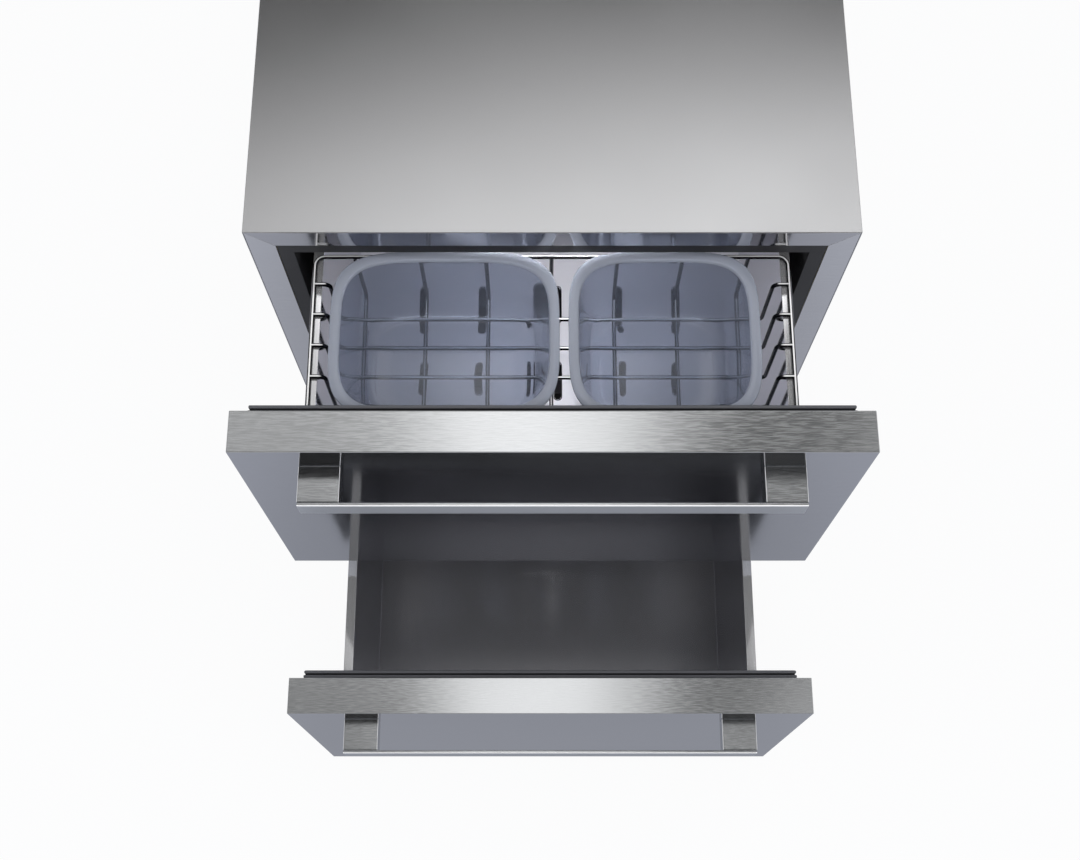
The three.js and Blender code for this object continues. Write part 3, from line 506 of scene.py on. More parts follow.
def round_edges(mesh: Mesh, width: float, segments: int = SOFT, wanted: EdgeTest | None = None) -> None:
    """Rounds a mesh's sharp edges in place, once its doubled points and flat edges are gone.

    Args:
        mesh: the mesh to change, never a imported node's own.
        width: how far the rounding reaches from each edge.
        segments: strips across the rounding.
        wanted: a test that an edge must pass too.
    """
    double, flat = 0.002 * MM, math.radians(0.6)
    work = bmesh.new()
    work.from_mesh(mesh)
    bmesh.ops.remove_doubles(work, verts=work.verts, dist=double)
    bmesh.ops.dissolve_limit(work, angle_limit=flat, verts=work.verts, edges=work.edges)
    turned = [
        e for e in work.edges if len(e.link_faces) == 2 and e.calc_face_angle(0.0) > math.radians(EDGE_ANGLE)
    ]
    chosen = [e for e in turned if wanted is None or wanted(e)]
    bmesh.ops.bevel(work, geom=chosen, offset=width, segments=segments, profile=0.5, affect="EDGES",
                    clamp_overlap=True)
    work.to_mesh(mesh)
    work.free()


def dress(piece: Object, finish: Finish, weighted: bool = True) -> Object:
    """Gives a piece its finish and its smooth shading.

    Args:
        piece: the piece.
        finish: its finish.
        weighted: whether its large faces keep their shading flat beside rounded edges.

    Returns:
        The piece.
    """
    mesh = piece.data
    mesh.materials.clear()
    mesh.materials.append(finish.material())
    mesh.polygons.foreach_set("material_index", [0] * len(mesh.polygons))
    mesh.polygons.foreach_set("use_smooth", [True] * len(mesh.polygons))
    mesh.set_sharp_from_angle(angle=math.radians(CREASE_ANGLE))
    if weighted:
        keep = piece.modifiers.new("flat_faces", "WEIGHTED_NORMAL")
        keep.keep_sharp = True
        keep.weight = 60
    return piece


def refined(node: str, finish: Finish, width: float, segments: int = SOFT,
            wanted: EdgeTest | None = None) -> Object:
    """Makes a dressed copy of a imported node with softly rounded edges.

    Args:
        node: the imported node.
        finish: the copy's finish.
        width: how far the rounding reaches from each edge.
        segments: strips across the rounding.
        wanted: a test that an edge must pass to be rounded.

    Returns:
        The new piece, named after the node.
    """
    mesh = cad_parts[node].data.copy()
    round_edges(mesh, width, segments, wanted)
    return dress(object_from(f"{node}_fine", mesh), finish)


def dress_faces(piece: Object, finish: Finish, wanted: FaceTest) -> None:
    """Gives some of a dressed piece's faces another finish.

    Args:
        piece: the piece, already dressed.
        finish: the finish of the chosen faces.
        wanted: the test that chooses a face.
    """
    piece.data.materials.append(finish.material())
    last = len(piece.data.materials) - 1
    for face in piece.data.polygons:
        if wanted(face):
            face.material_index = last


def settle(piece: Object, body: str, *nodes: str) -> None:
    """Places a finished piece in the part, and reports it.

    Args:
        piece: the piece.
        body: the body that it rides on.
        nodes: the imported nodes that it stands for.
    """
    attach(piece, body)
    if nodes:
        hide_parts(*nodes)
    LOG.info("%s on %s: %d faces", piece.name, body, len(piece.data.polygons))


def soften(node: str, body: str, finish: Finish, width: float = 0.4 * MM, segments: int = SOFT) -> None:
    """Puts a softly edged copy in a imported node's place."""
    settle(refined(node, finish, width, segments), body, node)


def repaint(finish: Finish, *nodes: str) -> None:
    """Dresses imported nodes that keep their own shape.

    Args:
        finish: their finish.
        nodes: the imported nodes.
    """
    for node in nodes:
        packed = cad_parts[node]
        packed.data.materials.clear()
        packed.data.materials.append(finish.material())
        LOG.info("%s keeps its solid, in %s", node, finish.name)


# ---------------------------------------------------------------- geometry node trees


class GrownShape(Group):
    """A geometry node group with named sizes that grows a piece from a small starting mesh."""

    def __init__(self, name: str, sizes: dict[str, str]) -> None:
        """Starts the group with the kind of each named size, such as Float."""
        inputs = {"Start": "Geometry", **sizes, "Material": "Material"}
        super().__init__(name, "GeometryNodeTree", inputs, {"Piece": "Geometry"})

    def line(self, count: NodeSocket, step: NodeSocket, start: object) -> NodeSocket:
        """Adds a Mesh Line node and returns its points."""
        inputs = {"Count": count, "Offset": step, "Start Location": start}
        return self.add("GeometryNodeMeshLine", inputs, mode="OFFSET").outputs[0]

    def copies(self, points: NodeSocket, shape: NodeSocket) -> NodeSocket:
        """Adds an Instance on Points node and returns its instances."""
        return self.add("GeometryNodeInstanceOnPoints", {"Points": points, "Instance": shape}).outputs[0]

    def sweep(self, path: NodeSocket, section: NodeSocket) -> NodeSocket:
        """Adds a Curve to Mesh node with closed ends and returns its solid."""
        inputs = {"Curve": path, "Profile Curve": section, "Fill Caps": True}
        return self.add("GeometryNodeCurveToMesh", inputs).outputs[0]

    def close(self, geometry: NodeSocket) -> "GrownShape":
        """Ends the group in real geometry with its material.

        Args:
            geometry: what the group has grown.

        Returns:
            The shape itself.
        """
        whole = self.add("GeometryNodeRealizeInstances", {"Geometry": geometry}).outputs[0]
        inputs = {"Geometry": whole, "Material": self.given["Material"]}
        self.add("NodeGroupOutput", {"Piece": self.add("GeometryNodeSetMaterial", inputs).outputs[0]})
        return self

    def grow(self, name: str, start: Mesh, finish: Finish, **sizes: object) -> Object:
        """Grows one piece and leaves it as a plain mesh.

        Args:
            name: the piece's name.
            start: the mesh that it grows from.
            finish: the piece's finish.
            sizes: the named sizes, with underscores for spaces.

        Returns:
            The new piece.
        """
        piece = object_from(name, start)
        modifier = piece.modifiers.new("grown", "NODES")
        modifier.node_group = self.tree
        values = {"Material": finish.material()} | {key.replace("_", " "): sizes[key] for key in sizes}
        for item in self.tree.interface.items_tree:
            if item.in_out == "INPUT" and item.name in values:
                modifier[item.identifier] = values[item.name]
        bpy.context.view_layer.update()
        evaluated = piece.evaluated_get(bpy.context.evaluated_depsgraph_get())
        grown = bpy.data.meshes.new_from_object(evaluated)
        piece.modifiers.remove(modifier)
        piece.data = grown
        return dress(piece, finish, weighted=False)


def bent_wire_shape() -> GrownShape:
    """Builds the group that turns chains of edges into round wires with bends of one radius."""
    shape = GrownShape("bent_wire", {
        "Diameter": "Float", "Bend Radius": "Float", "Bend Steps": "Int", "Sides": "Int"})
    given = shape.given
    path = shape.add("GeometryNodeMeshToCurve", {"Mesh": given["Start"]}).outputs[0]
    bend = shape.add("GeometryNodeFilletCurve", {
        "Curve": path, "Count": given["Bend Steps"], "Radius": given["Bend Radius"], "Limit Radius": True,
    }, mode="POLY")
    radius = shape.times(given["Diameter"], 0.5)
    section = shape.add("GeometryNodeCurvePrimitiveCircle", {"Resolution": given["Sides"], "Radius": radius})
    return shape.close(shape.sweep(bend.outputs[0], section.outputs[0]))


def repeated_shape() -> GrownShape:
    """Builds the group that repeats its starting mesh in a row, or in several where Rows says so."""
    shape = GrownShape("repeated", {
        "First": "Vector", "Step": "Vector", "Count": "Int", "Row Step": "Vector", "Rows": "Int"})
    shape.tree.interface.items_tree["Rows"].default_value = 1
    given = shape.given
    rows = shape.line(given["Rows"], given["Row Step"], given["First"])
    spread = shape.copies(rows, shape.line(given["Count"], given["Step"], (0, 0, 0)))
    points = shape.add("GeometryNodeRealizeInstances", {"Geometry": spread}).outputs[0]
    return shape.close(shape.copies(points, given["Start"]))


def thread_shape() -> GrownShape:
    """Builds the group that winds a screw thread round the Z axis, from the ground up."""
    shape = GrownShape("screw_thread", {
        "Radius": "Float", "Height": "Float", "Turns": "Float", "Crest": "Float", "Place": "Vector"})
    given = shape.given
    spiral = shape.add("GeometryNodeCurveSpiral", {
        "Resolution": 14, "Rotations": given["Turns"], "Start Radius": given["Radius"],
        "End Radius": given["Radius"], "Height": given["Height"]})
    section = shape.add("GeometryNodeCurvePrimitiveCircle", {"Resolution": 4, "Radius": given["Crest"]})
    ridge = shape.sweep(spiral.outputs[0], section.outputs[0])
    moved = shape.add("GeometryNodeTransform", {"Geometry": ridge, "Translation": given["Place"]})
    both = shape.add("GeometryNodeJoinGeometry", {0: moved.outputs[0]})
    shape.feed(both, {0: given["Start"]})
    return shape.close(both.outputs[0])


BENT_WIRE = bent_wire_shape()
REPEATED = repeated_shape()
THREAD = thread_shape()


def screw_head(radius: float, height: float) -> Mesh:
    """Makes a domed screw head with a six-sided socket, facing the rear.

    Args:
        radius: the head's radius.
        height: how far it stands out.

    Returns:
        The mesh, with the middle of the head's underside at the origin.
    """
    sides, socket = 24, 0.47
    profile = [(1.0, 0.0), (1.0, 0.35), (0.86, 0.78), (0.62, 0.97), (0.5, 1.0), (socket, 0.96),
               (socket, 0.3), (0.0, 0.25)]
    rings: list[list[Point]] = [[] for _ in profile]
    for ring, (share, level) in zip(rings, profile):
        for i in range(sides):
            turn = 2 * math.pi * i / sides
            hexagon = math.cos(math.pi / 6) / math.cos((turn % (math.pi / 3)) - math.pi / 6)
            reach = share * radius * (hexagon if share <= socket else 1.0)
            ring.append((reach * math.cos(turn), reach * math.sin(turn), level * height))
    mesh = ring_mesh(rings)
    mesh.transform(Vector((0, 1, 0)).to_track_quat("Z", "Y").to_matrix().to_4x4())
    return mesh


# ---------------------------------------------------------------- cabinet


@dataclass
class Cabinet:
    """Outer panels, face frame, base and feet."""

    body: str = "cabinet"
    fold: float = 0.9 * MM
    thin_fold: float = 0.3 * MM
    frame_fold: float = 0.35 * MM
    band_fold: float = 2.0 * MM
    screw_radius: float = 5.0 * MM
    screw_height: float = 0.8 * MM
    screw_inset: float = 12 * MM
    rear_screws: int = 5
    vent_width: float = 5 * MM
    vent_length: float = 56 * MM
    vent_pitch: float = 16 * MM
    vents: int = 11
    vent_height: float = 150 * MM
    lip_depth: float = 2.2 * MM
    lip_sheet: float = 0.4 * MM
    lip_gap: float = 1.2 * MM
    stud_radius: float = 4.4 * MM
    thread_pitch: float = 1.5 * MM
    thread_crest: float = 0.5 * MM
    thread_start: float = 9 * MM

    def build(self) -> None:
        """Builds and dresses the cabinet's outside."""
        self.panels()
        self.face_frame()
        self.rear_screw_rows()
        self.louvres()
        self.feet()

    def panels(self) -> None:
        """Dresses the top, the sides, the rear, the floor, the base and the toe grille."""
        soften("top_panel", self.body, Palette.CABINET, self.fold, FINE)
        for side in Side:
            soften(f"side_panel_{side.word}", self.body, Palette.CABINET)
        self.rear_panel()
        soften("base_pan", self.body, Palette.PLATED, segments=PLAIN)
        soften("cabinet_floor", self.body, Palette.PLATED)
        soften("toe_kick_grille", self.body, Palette.HANDLE, self.thin_fold, PLAIN)

    def face_frame(self) -> None:
        """Dresses the mitred members of the face frame and the member between the drawers."""
        for member in ("left", "right", "top", "bottom"):
            # The top member takes the darker copy, painted dark reflection; the others the lighter copy,
            # painted light.
            finish = Palette.HEAD if member == "top" else Palette.FRAME
            soften(f"face_frame_{member}", self.body, finish, self.frame_fold)
        soften("face_frame_centre", self.body, Palette.BAND, self.band_fold, FINE)

    def rear_panel(self) -> None:
        """Dresses the rear panel, set in from the cabinet's back by the height of its screws' heads."""
        panel = refined("rear_panel", Palette.PLATED, self.thin_fold, PLAIN)
        near_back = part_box("rear_panel")[1].y - 0.4 * MM
        for vertex in panel.data.vertices:
            if vertex.co.y > near_back:
                vertex.co.y -= self.screw_height
        settle(panel, self.body, "rear_panel")

    def rear_screw_rows(self) -> None:
        """Sets rows of screws down both edges of the rear panel."""
        low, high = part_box("rear_panel")
        inset = self.screw_inset
        head = screw_head(self.screw_radius, self.screw_height)
        pitch = (high.z - low.z - 2 * inset) / (self.rear_screws - 1)
        rows = REPEATED.grow(
            "rear_panel_screws", head, Palette.BALLS, Count=2, Rows=self.rear_screws, Row_Step=(0, 0, pitch),
            First=(low.x + inset, high.y - self.screw_height, low.z + inset),
            Step=(high.x - low.x - 2 * inset, 0, 0))
        settle(rows, self.body)

    def louvres(self) -> None:
        """Presses a lip inwards beside each vent slot in the rear panel."""
        near, far = -self.vent_width / 2, self.vent_width / 2 - self.lip_gap
        section = ((near, 0), (near - self.lip_sheet, 0), (far - self.lip_sheet, -self.lip_depth),
                   (far, -self.lip_depth))
        ends = (self.vent_height - self.vent_length / 2, self.vent_height + self.vent_length / 2)
        lip = ring_mesh([[(x, y, z) for x, y in section] for z in ends])
        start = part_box("rear_panel")[0].y + 0.2 * MM
        for label, node in (("left", "compressor"), ("right", "condenser_fan_rotor")):
            centre = sum(corner.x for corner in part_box(node)) / 2
            first = (centre - self.vent_pitch * (self.vents - 1) / 2, start, 0)
            lips = REPEATED.grow(f"vent_lips_{label}", lip, Palette.PLATED, First=first,
                                 Step=(self.vent_pitch, 0, 0), Count=self.vents)
            settle(lips, self.body)

    def feet(self) -> None:
        """Builds each levelling foot as a turned pad under a threaded stud."""
        sides, stud = 36, self.stud_radius
        turns = [2 * math.pi * i / sides for i in range(sides)]
        for place in ("front_left", "front_right", "rear_left", "rear_right"):
            node = f"levelling_foot_{place}"
            low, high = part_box(node)
            centre = (low + high) / 2
            pad = high.x - centre.x
            profile = [(pad * 0.93, 0), (pad, 0.8 * MM), (pad, 2.8 * MM), (pad * 0.9, 3.6 * MM),
                       (pad * 0.52, 5.6 * MM), (pad * 0.46, 6.4 * MM), (stud, 6.6 * MM),
                       (stud, high.z - 0.8 * MM), (stud * 0.8, high.z)]
            turned = ring_mesh([[(centre.x + r * math.cos(turn), centre.y + r * math.sin(turn), z)
                                 for turn in turns] for r, z in profile])
            run = high.z - self.thread_start - 2 * MM
            foot = THREAD.grow(f"{node}_fine", turned, Palette.PLATED, Radius=stud, Height=run,
                               Turns=run / self.thread_pitch, Crest=self.thread_crest,
                               Place=(centre.x, centre.y, self.thread_start))
            settle(foot, self.body, node)


@dataclass
class Coil:
    """A finned coil: close upright fins on level tubes that join in turn at their ends."""

    node: str
    fin_pitch: float
    body: str = "cabinet"
    fin_thickness: float = 0.3 * MM
    tube_diameter: float = 8 * MM
    bare_end: float = 14 * MM
    passes: int = 4

    def build(self) -> None:
        """Builds the coil's fins and its tubes."""
        low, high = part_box(self.node)
        start, end = low.x + self.bare_end, high.x - self.bare_end
        fin = box_mesh((0, low.y, low.z), (self.fin_thickness, high.y, high.z))
        fins = REPEATED.grow(f"{self.node}_fins", fin, Palette.FINS, First=(start, 0, 0),
                             Step=(self.fin_pitch, 0, 0), Count=int((end - start) / self.fin_pitch) + 1)
        settle(fins, self.body, self.node)
        pitch, middle, radius = (high.z - low.z) / self.passes, (low.y + high.y) / 2, self.tube_diameter / 2
        run = []
        for i in range(self.passes):
            z = low.z + (i + 0.5) * pitch
            ends = [(low.x + radius, middle, z), (high.x - radius, middle, z)]
            run += ends[::-1] if i % 2 else ends
        tubes = BENT_WIRE.grow(f"{self.node}_tubes", polyline_mesh([run]), Palette.COPPER,
                               Diameter=self.tube_diameter, Bend_Radius=pitch * 0.3, Bend_Steps=6, Sides=14)
        settle(tubes, self.body)


@dataclass
class Cavity:
    """Liner, insulation, and what cools, lights and controls the cavity."""

    body: str = "cabinet"
    liner_fold: float = 0.5 * MM
    housing_fold: float = 2.0 * MM
    cover_fold: float = 0.3 * MM
    fin_pitch: float = 5 * MM
    rib_width: float = 1.2 * MM
    rib_height: float = 0.8 * MM
    rib_fold: float = 0.3 * MM
    rib_pitch: float = 2.6 * MM
    lamp_power: float = 1.3
    lamp_tilt: float = -22.0
    lamp_drop: float = 2 * MM

    def build(self) -> None:
        """Builds and dresses the cavity."""
        soften("inner_liner", self.body, Palette.BAND, self.liner_fold)
        soften("control_housing", self.body, Palette.CORE, self.housing_fold, FINE)
        soften("evaporator_cover", self.body, Palette.CABINET, self.cover_fold, PLAIN)
        self.lens()
        Coil("evaporator_coil", self.fin_pitch).build()
        repaint(Palette.CORE, "evaporator_fan_motor", "evaporator_fan_rotor")
        repaint(Palette.FOAM, "foam_insulation")

    def lens(self) -> None:
        """Builds the lamp's lens with ribs across it."""
        low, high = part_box("interior_light_lens")
        edge, end, sunk = 1.0 * MM, 3.0 * MM, 0.2 * MM
        rib = box_mesh((0, low.y + edge, low.z), (self.rib_width, high.y - edge, low.z + self.rib_height))
        round_edges(rib, self.rib_fold)
        ribs = REPEATED.grow(
            "lamp_lens_ribs", rib, Palette.LENS, First=(low.x + end, 0, 0), Step=(self.rib_pitch, 0, 0),
            Count=int((high.x - low.x - 2 * end) / self.rib_pitch))
        settle(ribs, self.body)
        plate = box_mesh((low.x, low.y, low.z + self.rib_height - sunk), tuple(high))
        round_edges(plate, edge, FINE)
        settle(dress(object_from("lamp_lens_plate", plate), Palette.LENS), self.body, "interior_light_lens")

    def light(self) -> None:
        """Lights the cavity from its own lamp, just under the lens in the ceiling."""
        low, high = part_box("interior_light_lens")
        place = ((low.x + high.x) / 2, (low.y + high.y) / 2, low.z - self.lamp_drop)
        hang_lamp("cavity_lamp", "RECTANGLE", (high.x - low.x, high.y - low.y), self.lamp_power, place,
                  (math.radians(self.lamp_tilt), 0.0, 0.0))


@dataclass
class MachineBay:
    """What stands behind the cavity's step, on the base pan."""

    body: str = "cabinet"
    fin_pitch: float = 4 * MM

    def build(self) -> None:
        """Dresses the machine compartment's pieces."""
        Coil("condenser_coil", self.fin_pitch).build()
        repaint(Palette.PAINT, "compressor", "condenser_fan_shroud")
        repaint(Palette.CORE, "condenser_fan_rotor", "drain_pan")
        soften("power_inlet", self.body, Palette.CORE)
        repaint(Palette.COPPER, "refrigerant_line")


# ---------------------------------------------------------------- drawers


@dataclass
class Drawer:
    """A drawer's door, gasket, handle, tub and slides."""

    level: Level
    door_fold: float = 0.9 * MM
    post_fold: float = 1.0 * MM
    bar_fold: float = 1.2 * MM
    tub_fold: float = 0.5 * MM
    slide_fold: float = 0.35 * MM
    gasket_width: float = 12 * MM
    gasket_depth: float = 11.7 * MM
    slot_width: float = 8 * MM
    slot_length: float = 48 * MM
    slot_first: tuple[float, float] = (9.3 * MM, 63.5 * MM)
    slot_pitch: tuple[float, float] = (72 * MM, 100 * MM)
    slot_columns: int = 3
    slot_rows: int = 4
    tub_sheet: float = 1.2 * MM
    slide_sheet: float = 1.5 * MM
    ball_radius: float = 0.65 * MM
    ball_pitch: float = 8 * MM
    ball_gap: float = 0.05 * MM
    bare_end: float = 15 * MM

    @property
    def body(self) -> str:
        """The body that the drawer's pieces ride on."""
        return f"{self.level.value}_drawer"

    def node(self, piece: str) -> str:
        """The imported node's name of one of the drawer's pieces."""
        return f"{self.level.value}_{piece}"

    def build(self) -> None:
        """Builds and dresses the drawer."""
        self.door()
        self.gasket()
        self.handle()
        self.tub()
        self.slides()

    def door(self) -> None:
        """Dresses the door's skin and its inner panel."""
        skin = refined(self.node("door_skin"), Palette.DOOR, self.door_fold, FINE)
        dress_faces(skin, Palette.DOOR_FRONT, lambda face: face.normal.y < -FACING)
        settle(skin, self.body, self.node("door_skin"))
        soften(self.node("door_inner_panel"), self.body, Palette.CORE, 1.0 * MM, FINE)

    def gasket(self) -> None:
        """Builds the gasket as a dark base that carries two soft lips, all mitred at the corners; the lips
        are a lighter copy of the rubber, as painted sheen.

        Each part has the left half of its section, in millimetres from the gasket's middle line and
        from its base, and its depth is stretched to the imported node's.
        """
        node = self.node("gasket")
        low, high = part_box(node)
        inset, rise = self.gasket_width / 2, MM * (high.y - low.y) / self.gasket_depth
        for part, finish, half, stands_for in (
            ("base", Palette.SEAL, [(-4.2, 11.2), (-4.2, 0.0)], [node]),
            ("inner_lip", Palette.SEAL_PAINTED_SHEEN, [
                (-4.4, 2.6), (-5.6, 2.6), (-6.0, 3.2), (-6.0, 5.2), (-5.6, 5.8), (-4.4, 5.8)], []),
            ("outer_lip", Palette.SEAL_PAINTED_SHEEN, [
                (-4.4, 8.0), (-5.0, 8.0), (-5.5, 8.6), (-5.5, 10.2), (-4.8, 11.2), (-3.4, 11.7)], []),
        ):
            section = half + [(-u, v) for u, v in reversed(half)]
            corners = []
            for sx, sz in ((-1, -1), (1, -1), (1, 1), (-1, 1)):
                x = (low.x if sx < 0 else high.x) - sx * inset
                z = (low.z if sz < 0 else high.z) - sz * inset
                corners.append([(x + sx * u * MM, low.y + v * rise, z + sz * u * MM) for u, v in section])
            ring = object_from(self.node(f"gasket_{part}"), ring_mesh(corners, closed=True))
            settle(dress(ring, finish, weighted=False), self.body, *stands_for)

    def handle(self) -> None:
        """Dresses the handle's bar and its two posts, with painted highlights on their rounded edges."""
        side_low, side_high, side_rise, front_turn, front_rise = 0.3, 0.97, 0.25, 0.2, 0.5
        for part in ("handle_post_left", "handle_post_right"):
            post = refined(self.node(part), Palette.HANDLE, self.post_fold, FINE)
            dress_faces(post, Palette.EDGE,
                        lambda face: side_low < abs(face.normal.x) < side_high and face.normal.z > side_rise)
            settle(post, self.body, self.node(part))
        node = self.node("handle_bar")
        bar = refined(node, Palette.HANDLE, self.bar_fold, FINE)
        # The bar's front faces take the darker blue-grey copy, painted reflection.
        dress_faces(bar, Palette.BAR_FRONT, lambda face: face.normal.y < -FACING)
        # The bar's front bevels take the painted highlight too.
        dress_faces(bar, Palette.EDGE,
                    lambda face: face.normal.y < -front_turn and abs(face.normal.z) > front_rise)
        settle(bar, self.body, node)

    def tub(self) -> None:
        """Builds the folded tub, and the rolled lips round the slots in its floor where it has them."""
        node = self.node("tub")
        upper = self.level is Level.UPPER
        longest_kept = 30 * MM
        fine = refined(node, Palette.TUB, self.tub_fold,
                       wanted=lambda edge: edge.calc_length() > longest_kept)
        low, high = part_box(node)
        # The lower tub's floor takes the darker copy of the steel, painted shade.
        dress_faces(fine, Palette.TUB_FLOOR if upper else Palette.TUB_WELL_SHADED,
                    lambda face: face.normal.z > FACING and face.center.z < low.z + 3 * MM)
        dress_faces(fine, Palette.FLANGE,
                    lambda face: face.normal.z > FACING and face.center.z > high.z - 2 * MM)
        if upper:
            self.slot_rims()
        settle(fine, self.body, node)

    def slot_rims(self) -> None:
        """Rolls a small rim round each slot in the tub's floor."""
        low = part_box(self.node("tub"))[0]
        straight = (self.slot_length - self.slot_width) / 2
        half_turn = 8
        turns = [math.pi * i / half_turn for i in range(half_turn + 1)]
        rings = []
        for reach, rise in ((0.0, 0.0), (0.0, 0.35), (0.3, 0.6), (0.8, 0.6), (1.2, 0.3), (1.3, 0.0)):
            radius = self.slot_width / 2 + reach * MM
            rings.append([
                (end * radius * math.cos(turn), end * (straight + radius * math.sin(turn)), rise * MM)
                for end in (1, -1) for turn in turns])
        rim = ring_mesh(rings, closed=True)
        for side in Side:
            start = self.slot_first[0] if side is Side.RIGHT else (
                -self.slot_first[0] - (self.slot_columns - 1) * self.slot_pitch[0])
            rims = REPEATED.grow(
                self.node(f"tub_slot_rims_{side.word}"), rim, Palette.TUB,
                First=(start, low.y + self.slot_first[1], low.z + self.tub_sheet),
                Step=(self.slot_pitch[0], 0, 0), Count=self.slot_columns,
                Row_Step=(0, self.slot_pitch[1], 0), Rows=self.slot_rows)
            settle(rims, self.body)

    def slides(self) -> None:
        """Dresses both slides and sets rows of balls between their members."""
        middle = f"{self.level.value}_slide_middle"
        for side in Side:
            for role, body in (("cabinet", "cabinet"), ("middle", middle), ("drawer", self.body)):
                soften(self.node(f"slide_{role}_member_{side.word}"), body, Palette.PLATED, self.slide_fold)
            self.ball_rows(side, middle)

    def ball_rows(self, side: Side, body: str) -> None:
        """Sets two rows of balls along the middle member's web, clear of the drawer's member.

        Args:
            side: the slide's side.
            body: the middle member's body.
        """
        node = self.node(f"slide_middle_member_{side.word}")
        low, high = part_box(node)
        edge = self.slide_sheet + self.ball_radius
        inner = side.value * (max(abs(low.x), abs(high.x)) - edge - self.ball_gap)
        ball = bmesh.new()
        bmesh.ops.create_icosphere(ball, subdivisions=2, radius=self.ball_radius)
        mesh = bpy.data.meshes.new("ball")
        ball.to_mesh(mesh)
        ball.free()
        rows = REPEATED.grow(
            f"{node}_balls", mesh, Palette.BALLS, First=(inner, low.y + self.bare_end, low.z + edge),
            Step=(0, self.ball_pitch, 0), Count=int((high.y - low.y - 2 * self.bare_end) / self.ball_pitch),
            Row_Step=(0, 0, high.z - low.z - 2 * edge), Rows=2)
        settle(rows, body)


@dataclass
class Basket:
    """The wire basket that hangs on the upper tub's flanges."""

    body: str = "upper_drawer"
    wire: float = 4.4 * MM
    bend: float = 7 * MM
    corner: float = 10 * MM
    tub_sheet: float = 1.5 * MM
    side_gap: float = 8 * MM
    nesting: float = 0.8
    first_cross: float = 30.9 * MM
    cross_pitch: float = 33.6 * MM
    cross_count: int = 5
    length_pitch: float = 67.2 * MM
    length_count: int = 7

    def build(self) -> None:
        """Builds the basket's rim and its wires."""
        low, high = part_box("wire_basket")
        r = self.wire / 2
        x, y0, y1, top, under = high.x - r, low.y + r, high.y - r, high.z - r, low.z + r
        rim = BENT_WIRE.grow(
            "basket_rim", polyline_mesh([[(-x, y0, top), (x, y0, top), (x, y1, top), (-x, y1, top)]], True),
            Palette.WIRE, Diameter=self.wire, Bend_Radius=self.corner, Bend_Steps=8, Sides=16)
        settle(rim, self.body, "wire_basket")
        tub_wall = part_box("upper_slide_drawer_member_right")[0].x - self.tub_sheet
        upright, floor = tub_wall - self.side_gap, under + self.wire * self.nesting
        runs = []
        for i in range(self.cross_count):
            y = y1 - self.first_cross - i * self.cross_pitch
            runs.append([(-x, y, top), (-upright, y, top), (-upright, y, floor), (upright, y, floor),
                         (upright, y, top), (x, y, top)])
        for i in range(self.length_count):
            across = (i - (self.length_count - 1) / 2) * self.length_pitch
            runs.append([(across, y0, top), (across, y0, under), (across, y1, under), (across, y1, top)])
        wires = BENT_WIRE.grow("basket_wires", polyline_mesh(runs), Palette.WIRE, Diameter=self.wire,
                               Bend_Radius=self.bend, Bend_Steps=6, Sides=14)
        settle(wires, self.body)


@dataclass
class Bin:
    """A translucent bin with a rolled rim, standing in the basket."""

    side: Side
    rim: float = 10.0 * MM
    wall: float = 2.4 * MM
    draft: float = 14 * MM
    floor_radius: float = 14 * MM
    squareness: float = 4.2
    sides: int = 112
    bend_steps: int = 5
    lip: float = 4.5 * MM
    centre: Vector = field(init=False)
    half: Vector = field(init=False)

    def __post_init__(self) -> None:
        """Reads the bin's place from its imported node."""
        low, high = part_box(f"bin_{self.side.word}")
        self.centre = (low + high) / 2
        self.half = (high - low) / 2

    def outline(self, inset: float, z: float) -> list[tuple[float, float, float]]:
        """One level ring of the bin.

        Args:
            inset: how far inside the rim's outer edge it runs.
            z: its height.

        Returns:
            The ring's points.
        """
        ring = []
        power = 2 / self.squareness
        for i in range(self.sides):
            turn = 2 * math.pi * (i + 0.5) / self.sides
            c, s = math.cos(turn), math.sin(turn)
            ring.append((
                self.centre.x + (self.half.x - inset) * math.copysign(abs(c) ** power, c),
                self.centre.y + (self.half.y - inset) * math.copysign(abs(s) ** power, s), z))
        return ring

    def floor_bend(self, inset: float, floor: float) -> list[tuple[float, float]]:
        """The insets and heights of the bend from a floor, at its height, up to a wall, at its inset."""
        turns = [math.pi / 2 * step / self.bend_steps for step in range(self.bend_steps + 1)]
        return [(inset + self.floor_radius * (1 - math.sin(turn)),
                 floor + self.floor_radius * (1 - math.cos(turn))) for turn in turns]

    def build(self) -> None:
        """Builds the bin as one closed shell, from under its floor over the rim to its floor inside."""
        bottom, top = self.centre.z - self.half.z, self.centre.z + self.half.z
        rim, outer, inner_floor = self.rim, self.rim - self.wall, bottom + self.wall
        outside, inside = outer + self.draft, rim + self.draft
        rolled = [(outer + 0.4 * MM, 9 * MM), (outer - 0.6 * MM, 4 * MM), (outer - 2.2 * MM, 2.4 * MM),
                  (2.4 * MM, 2.4 * MM), (1.6 * MM, self.lip), (0.4 * MM, self.lip), (0.0, 1.3 * MM),
                  (0.3 * MM, 0.4 * MM), (1.1 * MM, 0.0), (rim - 1.2 * MM, 0.0), (rim - 0.3 * MM, 0.5 * MM),
                  (rim + 0.5 * MM, 4 * MM)]
        profile = [
            (outside + 1.9 * self.floor_radius, bottom + 1.2 * MM),
            (outside + 1.4 * self.floor_radius, bottom), *self.floor_bend(outside, bottom),
            *((inset, top - drop) for inset, drop in rolled),
            *reversed(self.floor_bend(inside, inner_floor)), (inside + 2.2 * self.floor_radius, inner_floor)]
        mesh = ring_mesh([self.outline(inset, z) for inset, z in profile])
        shell = dress(object_from(f"bin_{self.side.word}_shell", mesh), Palette.BIN, weighted=False)
        dress_faces(shell, Palette.BIN_RIM, lambda face: face.center.z > top - self.lip)
        settle(shell, "upper_drawer", f"bin_{self.side.word}")


# ---------------------------------------------------------------- studio


